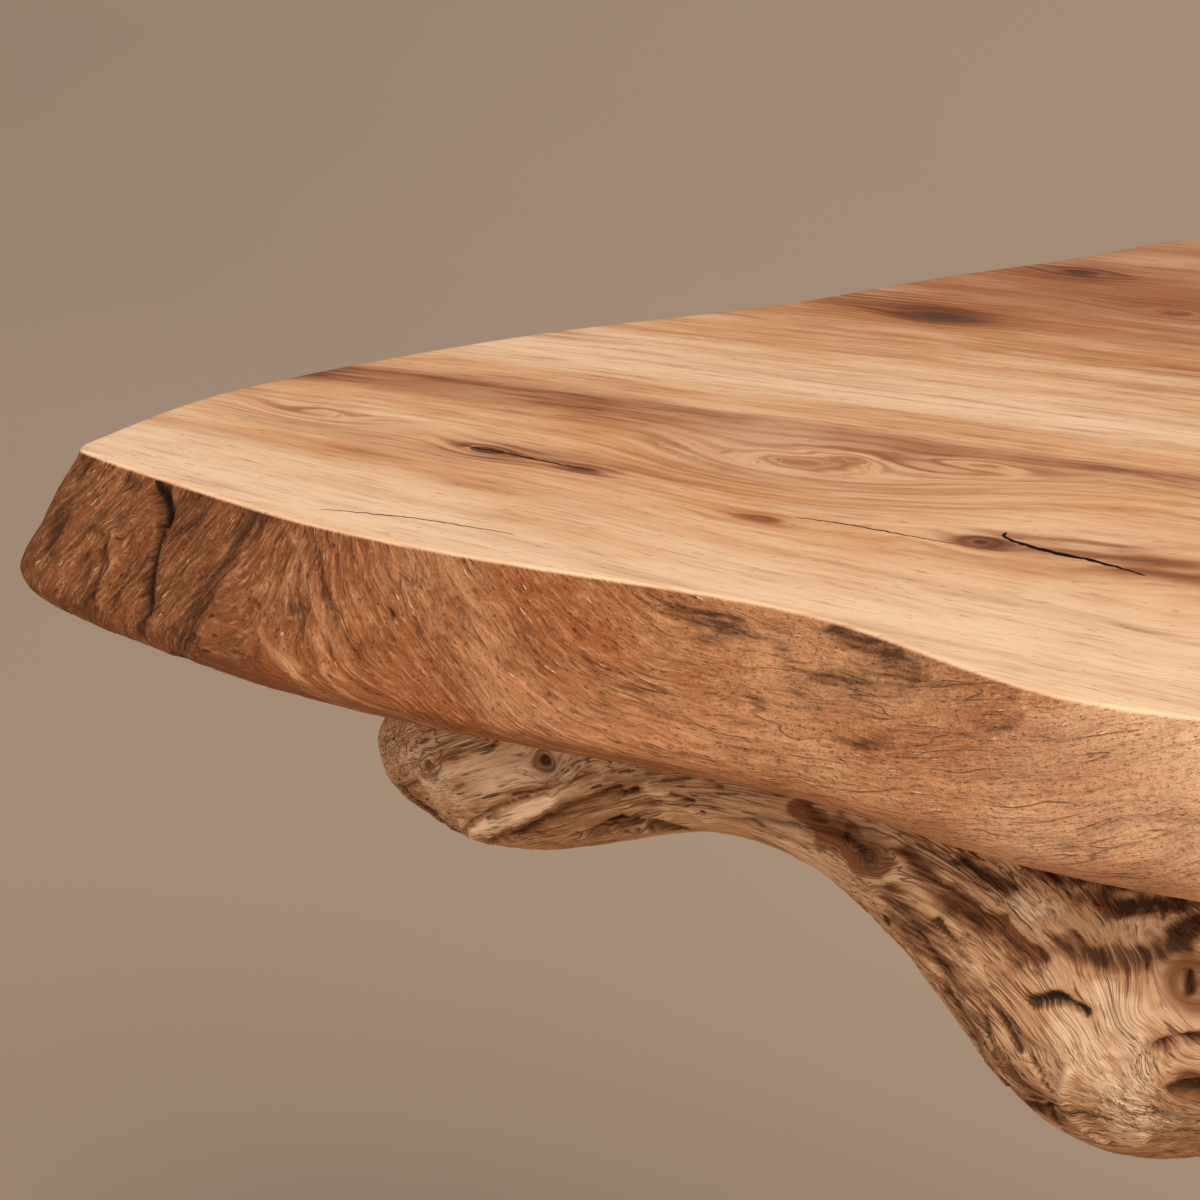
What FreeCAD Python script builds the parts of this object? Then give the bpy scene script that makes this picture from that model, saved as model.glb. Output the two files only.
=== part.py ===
# Driftwood console table: a live-edge slab carried by two planed logs on natural limbs.
# Round tenons locked by wooden pegs join the limbs, and lag screws hold the slab from below.
# Millimetres. +X runs along the table, the front looks along -Y, the floor is Z = 0.

import FreeCAD, Part
import math
import os
from FreeCAD import Placement, Rotation, Vector

doc = FreeCAD.newDocument("driftwood_console_table")

# Driving dimensions: name, size and meaning
SIZES = [
    ("table_length", 1400, "overall length of the slab"),
    ("table_depth", 450, "overall depth of the slab"),
    ("table_height", 780, "floor to slab top"),
    ("slab_thickness", 52, "sawn thickness of the slab"),
    ("edge_flare", 21, "swell of the waney edge outside the top arris"),
    ("back_flare", 12, "swell of the waney edge along the back"),
    ("edge_belly", 15, "height of the widest line above the underside"),
    ("edge_tuck", 14, "draw-in of the rounded lower edge"),
    ("trunk_left_inset", 114, "slab's left end to the tip of the trunk"),
    ("trunk_right_inset", 112, "slab's right end to the other tip"),
    ("bearer_left_inset", 270, "slab's left end to the tip of the rear bearer"),
    ("bearer_right_inset", 230, "slab's right end to the other tip"),
    ("bearer_setback", 116, "rear bearer behind the middle of the table"),
    ("bearer_half_width", 43, "half the width of the rear bearer"),
    ("bearer_half_height", 45, "half the height of the rear bearer's round"),
    ("bearer_drop", 26, "slab underside down to the rear bearer's heart"),
    ("left_head_reach", 243, "left leg heads from the middle of the table"),
    ("right_head_reach", 292, "right leg heads from the middle of the table"),
    ("left_foot_reach", 385, "left feet from the middle of the table"),
    ("right_foot_reach", 432, "right feet from the middle of the table"),
    ("front_foot_reach", 152, "front feet from the middle of the table"),
    ("rear_foot_reach", 158, "rear feet from the middle of the table"),
    ("head_drop", 24, "slab underside down to the ends of the leg tenons"),
    ("foot_radius", 60, "leg girth at the floor"),
    ("instep_radius", 49, "leg girth over the root flare"),
    ("ankle_radius", 37, "leg girth above the foot"),
    ("shin_radius", 42, "leg girth at the stretchers"),
    ("calf_radius", 34, "leg girth between stretcher and brace"),
    ("knee_radius", 40, "leg girth at the braces"),
    ("thigh_radius", 34, "leg girth above the brace"),
    ("neck_radius", 40, "leg girth below the logs"),
    ("head_radius", 36, "leg girth inside the logs"),
    ("stretcher_share", 0.33, "height of the stretcher joints along the legs"),
    ("brace_share", 0.62, "height of the brace joints along the legs"),
    ("stretcher_radius", 25, "girth of the side stretchers"),
    ("long_radius", 28, "girth of the long stretcher"),
    ("brace_radius", 22, "girth of the braces"),
    ("limb_end_radius", 20, "girth of side stretchers and braces at their ends"),
    ("long_end_radius", 17, "girth of the long stretcher at its ends"),
    ("leg_tenon", 40, "diameter of the leg tenons"),
    ("stretcher_tenon", 24, "diameter of the stretcher tenons"),
    ("brace_tenon", 22, "diameter of the brace tenons"),
    ("tenon_past", 8, "tenon length past the heart of the mortised limb"),
    ("joint_clearance", 0.15, "glue gap round a tenon or a peg"),
    ("shoulder_gap", 0.2, "glue gap at a scribed shoulder"),
    ("end_gap", 1.5, "room past the end of a tenon or a peg"),
    ("peg_diameter", 10, "wooden peg"),
    ("peg_proud", 2, "peg end left standing out of the limb"),
    ("peg_tail", 7, "peg length past its tenon"),
    ("peg_chamfer", 1.5, "bevel on the outer end of a peg"),
    ("lag_diameter", 8, "lag screw shank"),
    ("lag_length", 64, "lag screw under its head"),
    ("lag_point", 9, "tapered point of the lag screw"),
    ("lag_grip", 34, "wood left between washer and slab"),
    ("lag_head_corners", 15, "hexagon head across its corners"),
    ("lag_head_height", 5.5, "hexagon head height"),
    ("lag_hole_clearance", 0.5, "room round the shank in the logs"),
    ("washer_diameter", 24, "lag washer outside"),
    ("washer_thickness", 2, "lag washer"),
    ("counterbore_clearance", 1.5, "room round the washer in its counterbore"),
    ("glide_diameter", 44, "floor glide"),
    ("glide_thickness", 8, "floor glide"),
    ("glide_bevel", 2.5, "bevel round the bottom of a glide"),
    ("glide_recess", 3, "depth of the recess for the nail head"),
    ("nail_diameter", 3.5, "glide nail"),
    ("nail_length", 28, "glide nail under its head"),
    ("nail_head_diameter", 9, "glide nail head"),
    ("nail_head_thickness", 1.6, "glide nail head"),
    ("nail_clearance", 0.1, "room round a nail"),
]

# The waney outline of the slab's top, anticlockwise from the front left corner. Along the front and
# the back a point is its share of the length and its inset; along the ends its share of the depth
# and its inset. Along the front it also has its share of the flare, because the lower edge there
# runs straighter than the arris. The corner's last points keep their distance from the front.
FRONT_WAVE = [
    (0.000, 26, 0.92), (0.015, 21, 1.00), (0.031, 17, 1.02), (0.066, 9, 1.05), (0.087, 8, 1.08),
    (0.119, 11, 1.14), (0.158, 18, 1.15), (0.188, 18, 1.02), (0.214, 9, 0.74), (0.245, 1, 0.46),
    (0.279, 9, 0.70), (0.331, 16, 1.10), (0.404, 10, 1.10), (0.485, 2, 0.90), (0.566, 8, 1.05),
    (0.647, 16, 1.20), (0.728, 11, 1.10), (0.809, 1, 0.85), (0.890, 9, 1.00), (0.949, 22, 1.00),
]
RIGHT_END = [(0.094, 8), (0.200, 0), (0.345, 8), (0.489, 25), (0.657, 40), (0.825, 62), (0.933, 92)]
BACK_WAVE = [
    (0.898, 8), (0.824, 0), (0.721, 8), (0.618, 2), (0.515, 10), (0.412, 3), (0.309, 11), (0.228, 4),
    (0.176, 0),
]
LEFT_END = [
    (0.971, 193), (0.887, 171), (0.760, 137), (0.628, 106), (0.520, 71), (0.408, 40), (0.285, 14),
    (0.216, 3),
]
LEFT_CORNER = [(57, -2), (38, -3)]

# The waney edge: shares of the way down to its belly with their shares of its flare, then degrees
# round the lower edge
UPPER_EDGE = [(0.0, 0.0), (0.25, 0.27), (0.5, 0.53), (0.75, 0.79)]
LOWER_EDGE = [0, 30, 55, 75, 90]

# Rings of the trunk: share of its length, heart from the table's middle line (front is negative),
# heart below the slab, half width and half height. A blunt branch tip, a thin neck, a deep swelling
# over the left legs, a slimmer waist, a second swelling and another tip.
TRUNK_RINGS = [
    (0.000, -150, 25, 8, 8), (0.008, -150, 24, 25, 17), (0.022, -150, 20, 36, 28),
    (0.043, -150, 15, 42, 35), (0.073, -147, 11, 43, 30), (0.103, -140, 7, 46, 24),
    (0.133, -132, 11, 54, 27), (0.158, -126, 22, 62, 40), (0.180, -122, 35, 68, 63),
    (0.203, -118, 41, 72, 70), (0.232, -114, 39, 70, 63), (0.295, -105, 34, 66, 53),
    (0.397, -82, 26, 54, 45), (0.499, -64, 24, 50, 42), (0.601, -60, 26, 52, 45),
    (0.695, -70, 34, 62, 56), (0.772, -85, 38, 67, 63), (0.840, -100, 24, 56, 42),
    (0.900, -112, 16, 44, 32), (0.959, -120, 14, 39, 30), (0.990, -121, 16, 25, 20),
    (1.000, -121, 18, 9, 8),
]

# Rings of the rear bearer: share of its length, sideways bend, share of its width and height
BEARER_RINGS = [
    (0.000, -4, 0.22, 0.20), (0.014, -4, 0.66, 0.60), (0.060, -2, 0.92, 0.88), (0.210, 2, 1.00, 1.00),
    (0.400, -4, 0.92, 0.92), (0.560, -8, 0.94, 0.96), (0.740, 0, 1.02, 1.02), (0.930, 3, 0.92, 0.90),
    (0.986, 0, 0.66, 0.60), (1.000, 0, 0.22, 0.20),
]

# Rings of a leg from the floor up: girth, share of its height and depth of its flutes. The foot is a
# lobed root flare, and the limb swells where other limbs are tenoned into it.
LEG_RINGS = [
    ("foot_radius", 0.0, 0.20), ("instep_radius", 0.06, 0.17), ("ankle_radius", 0.17, 0.10),
    ("shin_radius", "stretcher_share", 0.06), ("calf_radius", 0.47, 0.07),
    ("knee_radius", "brace_share", 0.06),
    ("thigh_radius", 0.75, 0.07), ("neck_radius", 0.88, 0.06), ("head_radius", 1.0, 0.06),
]
SHIN = 3
KNEE = 5

# Bends of each leg at its inner rings, in X and Y
LEG_BENDS = {
    "front_left_leg": [(3, 1), (10, -2), (22, -9), (13, -4), (-9, 8), (-15, 7), (-7, 3)],
    "rear_left_leg": [(1, -2), (2, -6), (12, 8), (19, 12), (8, -6), (-8, -8), (-5, -2)],
    "front_right_leg": [(-3, 1), (-12, 2), (-20, -12), (-6, -6), (10, 9), (14, 7), (6, 2)],
    "rear_right_leg": [(-1, -3), (-6, -6), (-24, 5), (-25, 11), (-5, -5), (9, -9), (6, -2)],
}

# Broken branch stubs: owner, share along its leg, then reach in X, Y, Z and girth
LEG_STUBS = [
    ("front_left_leg", 0.49, (-58, -26, 40), 19),
    ("rear_right_leg", 0.50, (60, 28, 44), 18),
    ("front_right_leg", 0.43, (52, -34, 34), 17),
    ("rear_left_leg", 0.78, (-50, 34, 36), 16),
]
STUB_TAPER = [(0.0, 1.55), (0.4, 1.3), (0.7, 0.95), (0.93, 0.8), (1.0, 0.45)]

# Bends of stretchers and braces at three inner rings: rise and side for stretchers, both across a brace
INNER_SHARES = [0.18, 0.5, 0.82]
STRETCHER_BENDS = {
    "left_stretcher": [(-4, 4), (-10, 9), (-3, 5)],
    "right_stretcher": [(5, -3), (11, -10), (6, -4)],
    "long_stretcher": [(7, -9), (24, 10), (10, 8)],
}
BRACE_BENDS = {
    "front_left_brace": [(7, 2), (13, 5), (6, 3)],
    "front_right_brace": [(6, -3), (14, -4), (8, 0)],
    "rear_left_brace": [(5, 3), (12, -6), (6, -2)],
    "rear_right_brace": [(7, 0), (11, 6), (5, 3)],
}
BRACE_HEADS = {
    "front_left_brace": 0.397,
    "front_right_brace": 0.601,
    "rear_left_brace": 0.400,
    "rear_right_brace": 0.560,
}
MIDDLE = 2

# Lag screws along each log, as shares of its length
TRUNK_LAGS = [0.195, 0.448, 0.852]
BEARER_LAGS = [0.090, 0.480, 0.880]

RING_POINTS = 12
SEAM_ON_TOP = 90
SEAM_BELOW = 180
LIMB_FLUTES = 0.07
LOG_FLUTES = 0.025
FLUTE_COUNT = 3
FLUTE_TWIST = 2.4
HEXAGON = 6
FULL_TURN = 360
RAY_LENGTH = 400
TOOL_REACH = 60
BORE_REACH = 200
PEG_SEAT = 0.45

FRONT = Vector(0, -1, 0)
BACK = Vector(0, 1, 0)
LEFT = Vector(-1, 0, 0)
RIGHT = Vector(1, 0, 0)
UP = Vector(0, 0, 1)

# A limb's own Z axis turned to run along the table, along its depth, or left upright
ALONG_X = Rotation(BACK, UP, RIGHT, "ZXY")
ALONG_Y = Rotation(UP, RIGHT, BACK, "ZXY")
UPRIGHT = Rotation()

sheet = doc.addObject("Spreadsheet::Sheet", "Sizes")
for row, (name, size, meaning) in enumerate(SIZES, start=1):
    sheet.set(f"A{row}", meaning)
    sheet.set(f"B{row}", str(size))
    sheet.setAlias(f"B{row}", name)
doc.recompute()


def size(name):
    return float(sheet.get(name))


underside = size("table_height") - size("slab_thickness")
UNDERSIDE = "(Sizes.table_height - Sizes.slab_thickness)"
nodes = []


def origin_plane(body, role):
    return next(plane for plane in body.Origin.OriginFeatures if plane.Role == role)


def closed_spline(points):
    curve = Part.BSplineCurve()
    curve.interpolate(points, PeriodicFlag=True)
    return curve


def spline_sketch(body, name, points, offset):
    """A closed curve on a plane across the body's own Z axis."""
    sketch = body.newObject("Sketcher::SketchObject", name)
    sketch.AttachmentSupport = (origin_plane(body, "XY_Plane"), [""])
    sketch.MapMode = "FlatFace"
    sketch.AttachmentOffset = Placement(offset, Rotation())
    sketch.addGeometry(closed_spline(points), False)
    return sketch


def loft(body, sections):
    feature = body.newObject("PartDesign::AdditiveLoft", f"{body.Name}_loft")
    feature.Profile = sections[0]
    feature.Sections = sections[1:]
    return feature


def fluted_ring(half_width, half_height, flutes, phase, seam):
    """Points round one section of a limb, from its seam on: an oval with shallow flutes."""
    points = []
    for step in range(RING_POINTS):
        angle = math.radians(seam) + 2 * math.pi * step / RING_POINTS
        swell = 1 + flutes * math.cos(FLUTE_COUNT * angle + phase)
        points.append(Vector(half_width * swell * math.cos(angle), half_height * swell * math.sin(angle), 0))
    return points


class Limb:
    """A lofted log or branch from one heart point to another, through rings across its own axis.

    A ring is its share of the way, two bends away from the straight line, two half sizes and the
    depth of its flutes. The seam is the side, in degrees round the limb, where its skin closes, clear
    of any joint.
    """

    def __init__(self, label, start, end, turn, rings, seam, length=None):
        self.label = label
        run = turn.inverted().multVec(end - start)
        self.body = doc.addObject("PartDesign::Body", f"{label}_blank")
        self.hearts = []
        sections = []
        for number, (share, bend_a, bend_b, half_a, half_b, flutes) in enumerate(rings):
            offset = Vector(run.x * share + bend_a, run.y * share + bend_b, run.z * share)
            points = fluted_ring(half_a, half_b, flutes, FLUTE_TWIST * share * FLUTE_COUNT, seam)
            sketch = spline_sketch(self.body, f"{label}_ring_{number}", points, offset)
            if length:
                sketch.setExpression("AttachmentOffset.Base.z", f"{share} * ({length})")
            sections.append(sketch)
            self.hearts.append(start + turn.multVec(offset))
        loft(self.body, sections)
        self.body.Placement = Placement(start, turn)
        self.blank = self.body
        self.scribes = []
        self.holes = []

    def grow(self, branches):
        """Join side growth, such as a branch stub, to the blank."""
        fused = doc.addObject("Part::MultiFuse", f"{self.label}_grown")
        fused.Shapes = [self.blank] + [branch.body for branch in branches]
        self.blank = fused

    def finish(self):
        """Bore every mortise and hole, then turn the tenons and scribe their shoulders."""
        done = cut(f"{self.label}_worked", self.blank, self.holes + self.scribes)
        done.Label = self.label
        nodes.append(done)


def cut(name, base, tools):
    """Take each tool away from the base in turn."""
    result = base
    for number, tool in enumerate(tools):
        step = doc.addObject("Part::Cut", f"{name}_{number}")
        step.Base = result
        step.Tool = tool
        result = step
    return result


def rod(name, start, end, radius):
    """A round bar between two points, its radius bound to the sheet."""
    bar = doc.addObject("Part::Cylinder", name)
    bar.setExpression("Radius", radius)
    bar.Height = start.distanceToPoint(end)
    bar.Placement = Placement(start, Rotation(UP, end - start))
    return bar


def reach(solid, point, direction):
    """How far a point inside a solid lies from its skin along a direction."""
    ray = Part.makeLine(point, point + direction * RAY_LENGTH)
    inside = min(solid.common(ray).Edges, key=lambda edge: edge.distToShape(Part.Vertex(point))[0])
    return max(point.distanceToPoint(vertex.Point) for vertex in inside.Vertexes)


def group(label, solids):
    """Identical pieces that share one node."""
    members = doc.addObject("Part::Compound", label)
    members.Links = solids
    nodes.append(members)


pegs = {"leg_pegs": [], "stretcher_pegs": [], "brace_pegs": []}


def join(limb, end, host, tenon, peg_group, peg_side):
    """Turn a tenon on one end of a limb, scribe its shoulder to the host and peg the two together."""
    tip = limb.hearts[end]
    toward = limb.hearts[1] if end == 0 else limb.hearts[-2]
    inward = (toward - tip).normalize()
    name = f"{limb.label}_{'foot' if end == 0 else 'head'}"
    depth = reach(host.blank.Shape, tip, inward)
    bottom = tip - inward * size("end_gap")
    mouth = tip + inward * (depth + TOOL_REACH)

    shoulder = doc.addObject("Part::Feature", f"{name}_shoulder")
    shoulder.Shape = host.blank.Shape.translated(inward * size("shoulder_gap"))
    tenon_bar = rod(f"{name}_tenon", tip - inward * TOOL_REACH, mouth, f"Sizes.{tenon} / 2")
    limb.scribes.append(cut(f"{name}_scribe", shoulder, [tenon_bar]))
    host.holes.append(rod(f"{name}_mortise", bottom, mouth, f"Sizes.{tenon} / 2 + Sizes.joint_clearance"))

    seat = tip + inward * (depth * PEG_SEAT)
    across = (peg_side - inward * peg_side.dot(inward)).normalize()
    outer = seat + across * (reach(host.blank.Shape, seat, across) + size("peg_proud"))
    inner = seat - across * (size(tenon) / 2 + size("peg_tail"))
    collar = outer - across * size("peg_chamfer")
    shaft = rod(f"{name}_peg_shaft", inner, collar, "Sizes.peg_diameter / 2")
    bevel = doc.addObject("Part::Cone", f"{name}_peg_bevel")
    bevel.setExpression("Radius1", "Sizes.peg_diameter / 2")
    bevel.setExpression("Radius2", "Sizes.peg_diameter / 2 - Sizes.peg_chamfer")
    bevel.setExpression("Height", "Sizes.peg_chamfer")
    bevel.Placement = Placement(collar, Rotation(UP, across))
    peg = doc.addObject("Part::Fuse", f"{name}_peg")
    peg.Base = shaft
    peg.Tool = bevel
    pegs[peg_group].append(peg)

    hole_end = inner - across * size("end_gap")
    hole = rod(f"{name}_peg_hole", hole_end, outer + across * TOOL_REACH,
               "Sizes.peg_diameter / 2 + Sizes.joint_clearance")
    limb.holes.append(hole)
    host.holes.append(hole)


def slab_outline():
    """Points of the top arris, each with its outward direction and its own flare."""
    left = -size("table_length") / 2 + size("edge_flare")
    front = -size("table_depth") / 2 + size("edge_flare")
    length = size("table_length") - 2 * size("edge_flare")
    depth = size("table_depth") - size("edge_flare") - size("back_flare")
    right = left + length
    back = front + depth
    edge_flare = size("edge_flare")
    back_flare = size("back_flare")
    points = []
    for share, inset, part in FRONT_WAVE:
        points.append((Vector(left + length * share, front + inset, 0), edge_flare * part))
    for share, inset in RIGHT_END:
        points.append((Vector(right - inset, front + depth * share, 0), edge_flare))
    for share, inset in BACK_WAVE:
        points.append((Vector(left + length * share, back - inset, 0), back_flare))
    for share, inset in LEFT_END:
        points.append((Vector(left + inset, front + depth * share, 0), edge_flare))
    for setback, inset in LEFT_CORNER:
        points.append((Vector(left + inset, front + setback, 0), edge_flare))
    outline = []
    for number, (point, flare) in enumerate(points):
        before = points[number - 1][0]
        after = points[(number + 1) % len(points)][0]
        outward = (after - before).cross(UP).normalize()
        outline.append((point, outward, flare))
    return outline


def make_slab():
    """The plank: one loft from the sharp top arris over the waney belly to the tucked-in underside."""
    body = doc.addObject("PartDesign::Body", "slab_blank")
    outline = slab_outline()
    belly = size("edge_belly")
    tuck = size("edge_tuck")
    top = size("slab_thickness")
    levels = []
    for share, wide in UPPER_EDGE:
        formula = f"Sizes.slab_thickness - (Sizes.slab_thickness - Sizes.edge_belly) * {share}"
        levels.append((top - (top - belly) * share, wide, 0.0, formula))
    for turn in LOWER_EDGE:
        wide = math.cos(math.radians(turn))
        rise = 1 - math.sin(math.radians(turn))
        levels.append((belly * rise, wide, tuck * (wide - 1), f"Sizes.edge_belly * {rise}"))
    sections = []
    for number, (rise, flare_share, draw, formula) in enumerate(levels):
        points = [point + outward * (flare * flare_share + draw) for point, outward, flare in outline]
        sketch = spline_sketch(body, f"slab_line_{number}", points, Vector(0, 0, rise))
        sketch.setExpression("AttachmentOffset.Base.z", formula)
        sections.append(sketch)
    loft(body, sections)
    body.setExpression("Placement.Base.z", UNDERSIDE)
    return body


def seat_plane(name):
    """Everything above the slab's underside: the planing that gives a log its flat seat."""
    plane = doc.addObject("Part::Box", name)
    plane.setExpression("Length", "Sizes.table_length")
    plane.setExpression("Width", "Sizes.table_depth")
    plane.setExpression("Height", "Sizes.table_height")
    plane.setExpression("Placement.Base.x", "-Sizes.table_length / 2")
    plane.setExpression("Placement.Base.y", "-Sizes.table_depth / 2")
    plane.setExpression("Placement.Base.z", UNDERSIDE)
    return plane


def plane_seat(limb):
    limb.blank = cut(f"{limb.label}_planed", limb.blank, [seat_plane(f"{limb.label}_planing")])


def make_trunk():
    half = size("table_length") / 2
    start = Vector(size("trunk_left_inset") - half, 0, underside)
    end = Vector(half - size("trunk_right_inset"), 0, underside)
    rings = []
    for share, heart, drop, wide, tall in TRUNK_RINGS:
        rings.append((share, heart, -drop, wide, tall, LOG_FLUTES))
    length = "Sizes.table_length - Sizes.trunk_left_inset - Sizes.trunk_right_inset"
    trunk = Limb("trunk_beam", start, end, ALONG_X, rings, SEAM_ON_TOP, length)
    plane_seat(trunk)
    return trunk


def make_bearer():
    half = size("table_length") / 2
    level = underside - size("bearer_drop")
    start = Vector(size("bearer_left_inset") - half, size("bearer_setback"), level)
    end = Vector(half - size("bearer_right_inset"), size("bearer_setback"), level)
    wide = size("bearer_half_width")
    tall = size("bearer_half_height")
    rings = [(share, bend, 0, wide * part_wide, tall * part_tall, LOG_FLUTES)
             for share, bend, part_wide, part_tall in BEARER_RINGS]
    length = "Sizes.table_length - Sizes.bearer_left_inset - Sizes.bearer_right_inset"
    bearer = Limb("rear_bearer", start, end, ALONG_X, rings, SEAM_ON_TOP, length)
    plane_seat(bearer)
    return bearer


def heart_at(limb, across_x):
    """The heart of a log at a place along the table, between its two nearest rings."""
    for near, far in zip(limb.hearts, limb.hearts[1:]):
        if near.x <= across_x <= far.x:
            return near + (far - near) * ((across_x - near.x) / (far.x - near.x))
    raise ValueError(f"{limb.label} has no wood at {across_x}")


def make_leg(label, log, head_x, foot_x, foot_y):
    """A leg from its foot on a glide up to its head inside a log."""
    head = heart_at(log, head_x)
    head.z = underside - size("head_drop")
    foot = Vector(foot_x, foot_y, size("glide_thickness"))
    bends = [(0, 0), *LEG_BENDS[label], (0, 0)]
    rings = []
    for (girth, share, flutes), (bend_x, bend_y) in zip(LEG_RINGS, bends):
        height = size(share) if isinstance(share, str) else share
        rings.append((height, bend_x, bend_y, size(girth), size(girth), flutes))
    length = f"{UNDERSIDE} - Sizes.head_drop - Sizes.glide_thickness"
    seam = math.degrees(math.atan2(foot_y, foot_x))
    leg = Limb(label, foot, head, UPRIGHT, rings, seam, length)
    stubs = [stub for stub in LEG_STUBS if stub[0] == label]
    leg.grow([make_stub(leg, share, run, girth) for _, share, run, girth in stubs])
    return leg


def make_stub(leg, share, run, girth):
    """What is left of a side branch that broke off."""
    start = leg.hearts[0] + (leg.hearts[-1] - leg.hearts[0]) * share
    end = start + Vector(*run)
    rings = [(along, 0, 0, girth * part, girth * part, LIMB_FLUTES) for along, part in STUB_TAPER]
    return Limb(f"{leg.label}_stub", start, end, Rotation(UP, end - start), rings, SEAM_ON_TOP)


def past(heart, other):
    """The end of a tenon that runs on past the heart of its host."""
    return heart + (heart - other).normalize() * size("tenon_past")


def make_stretcher(label, near, far, turn, girth, end_girth):
    """A limb between two hosts, tenoned into both."""
    start = past(near, far)
    end = past(far, near)
    rings = [(0.0, 0, 0, end_girth, end_girth, LIMB_FLUTES)]
    for share, (rise, side) in zip(INNER_SHARES, STRETCHER_BENDS[label]):
        rings.append((share, rise, side, girth, girth, LIMB_FLUTES))
    rings.append((1.0, 0, 0, end_girth, end_girth, LIMB_FLUTES))
    return Limb(label, start, end, turn, rings, SEAM_BELOW)


def make_brace(label, leg, log):
    """A knee brace from a leg up into the log above it."""
    along = log.hearts[0].x + (log.hearts[-1].x - log.hearts[0].x) * BRACE_HEADS[label]
    knee = leg.hearts[KNEE]
    head = heart_at(log, along)
    start = past(knee, head)
    end = past(head, knee)
    end_girth = size("limb_end_radius")
    girth = size("brace_radius")
    rings = [(0.0, 0, 0, end_girth, end_girth, LIMB_FLUTES)]
    for share, (bend_a, bend_b) in zip(INNER_SHARES, BRACE_BENDS[label]):
        rings.append((share, bend_a, bend_b, girth, girth, LIMB_FLUTES))
    rings.append((1.0, 0, 0, end_girth, end_girth, LIMB_FLUTES))
    return Limb(label, start, end, Rotation(UP, end - start), rings, SEAM_BELOW)


lag_screws = []
lag_washers = []
pilot_holes = []


def fit_lag(log, number, share):
    """A lag screw and washer in a counterbore, up through a log into the slab."""
    along = log.hearts[0].x + (log.hearts[-1].x - log.hearts[0].x) * share
    axis = heart_at(log, along)
    name = f"{log.label}_lag_{number}"
    seat = Vector(axis.x, axis.y, underside - size("lag_grip"))
    head_top = seat - UP * size("washer_thickness")
    point_end = head_top + UP * size("lag_length")
    point_start = point_end - UP * size("lag_point")

    head = doc.addObject("Part::Prism", f"{name}_head")
    head.Polygon = HEXAGON
    head.setExpression("Circumradius", "Sizes.lag_head_corners / 2")
    head.setExpression("Height", "Sizes.lag_head_height")
    head.Placement = Placement(head_top - UP * size("lag_head_height"), UPRIGHT)
    shank = rod(f"{name}_shank", head_top, point_start, "Sizes.lag_diameter / 2")
    point = doc.addObject("Part::Cone", f"{name}_point")
    point.setExpression("Radius1", "Sizes.lag_diameter / 2")
    point.Radius2 = 0
    point.setExpression("Height", "Sizes.lag_point")
    point.Placement = Placement(point_start, UPRIGHT)
    screw = doc.addObject("Part::MultiFuse", name)
    screw.Shapes = [head, shank, point]
    lag_screws.append(screw)

    disc = rod(f"{name}_washer_disc", head_top, seat, "Sizes.washer_diameter / 2")
    bore = rod(f"{name}_washer_bore", head_top, seat, "Sizes.lag_diameter / 2 + Sizes.lag_hole_clearance")
    lag_washers.append(cut(f"{name}_washer", disc, [bore]))

    below = seat - UP * BORE_REACH
    log.holes.append(rod(f"{name}_counterbore", below, seat,
                         "Sizes.washer_diameter / 2 + Sizes.counterbore_clearance"))
    log.holes.append(rod(f"{name}_clearance", seat, seat + UP * (size("lag_grip") + TOOL_REACH),
                         "Sizes.lag_diameter / 2 + Sizes.lag_hole_clearance"))
    pilot_holes.append(rod(f"{name}_pilot", seat, point_end + UP * size("end_gap"),
                           "Sizes.lag_diameter / 2 + Sizes.joint_clearance"))


glide_nails = []


def ring_sketch(body, name, corners):
    """A closed straight-sided profile beside the body's Z axis."""
    sketch = body.newObject("Sketcher::SketchObject", name)
    sketch.AttachmentSupport = (origin_plane(body, "XZ_Plane"), [""])
    sketch.MapMode = "FlatFace"
    for here, there in zip(corners, corners[1:] + corners[:1]):
        sketch.addGeometry(Part.LineSegment(Vector(*here, 0), Vector(*there, 0)), False)
    return sketch


def revolve(body, sketch):
    turned = body.newObject("PartDesign::Revolution", f"{body.Name}_turned")
    turned.Profile = sketch
    turned.ReferenceAxis = (sketch, ["V_Axis"])
    turned.Angle = FULL_TURN
    return turned


def fit_glide(leg, label):
    """A nylon glide under a foot, held by a nail whose head sits in a recess."""
    foot = leg.hearts[0]
    hole = size("nail_diameter") / 2 + size("nail_clearance")
    recess = size("nail_head_diameter") / 2 + size("nail_clearance")
    rim = size("glide_diameter") / 2
    body = doc.addObject("PartDesign::Body", label)
    corners = [
        (recess, 0), (rim - size("glide_bevel"), 0), (rim, size("glide_bevel")),
        (rim, size("glide_thickness")), (hole, size("glide_thickness")), (hole, size("glide_recess")),
        (recess, size("glide_recess")),
    ]
    revolve(body, ring_sketch(body, f"{label}_profile", corners))
    body.Placement = Placement(Vector(foot.x, foot.y, 0), UPRIGHT)
    nodes.append(body)

    seat = Vector(foot.x, foot.y, size("glide_recess"))
    tip = seat + UP * size("nail_length")
    head_end = seat - UP * size("nail_head_thickness")
    head = rod(f"{label}_nail_head", head_end, seat, "Sizes.nail_head_diameter / 2")
    shank = rod(f"{label}_nail_shank", seat, tip, "Sizes.nail_diameter / 2")
    nail = doc.addObject("Part::Fuse", f"{label}_nail")
    nail.Base = head
    nail.Tool = shank
    glide_nails.append(nail)
    leg.holes.append(rod(f"{label}_nail_hole", seat, tip + UP * size("end_gap"),
                         "Sizes.nail_diameter / 2 + Sizes.nail_clearance"))


# The two logs under the slab
trunk = make_trunk()
bearer = make_bearer()
doc.recompute()

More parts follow.
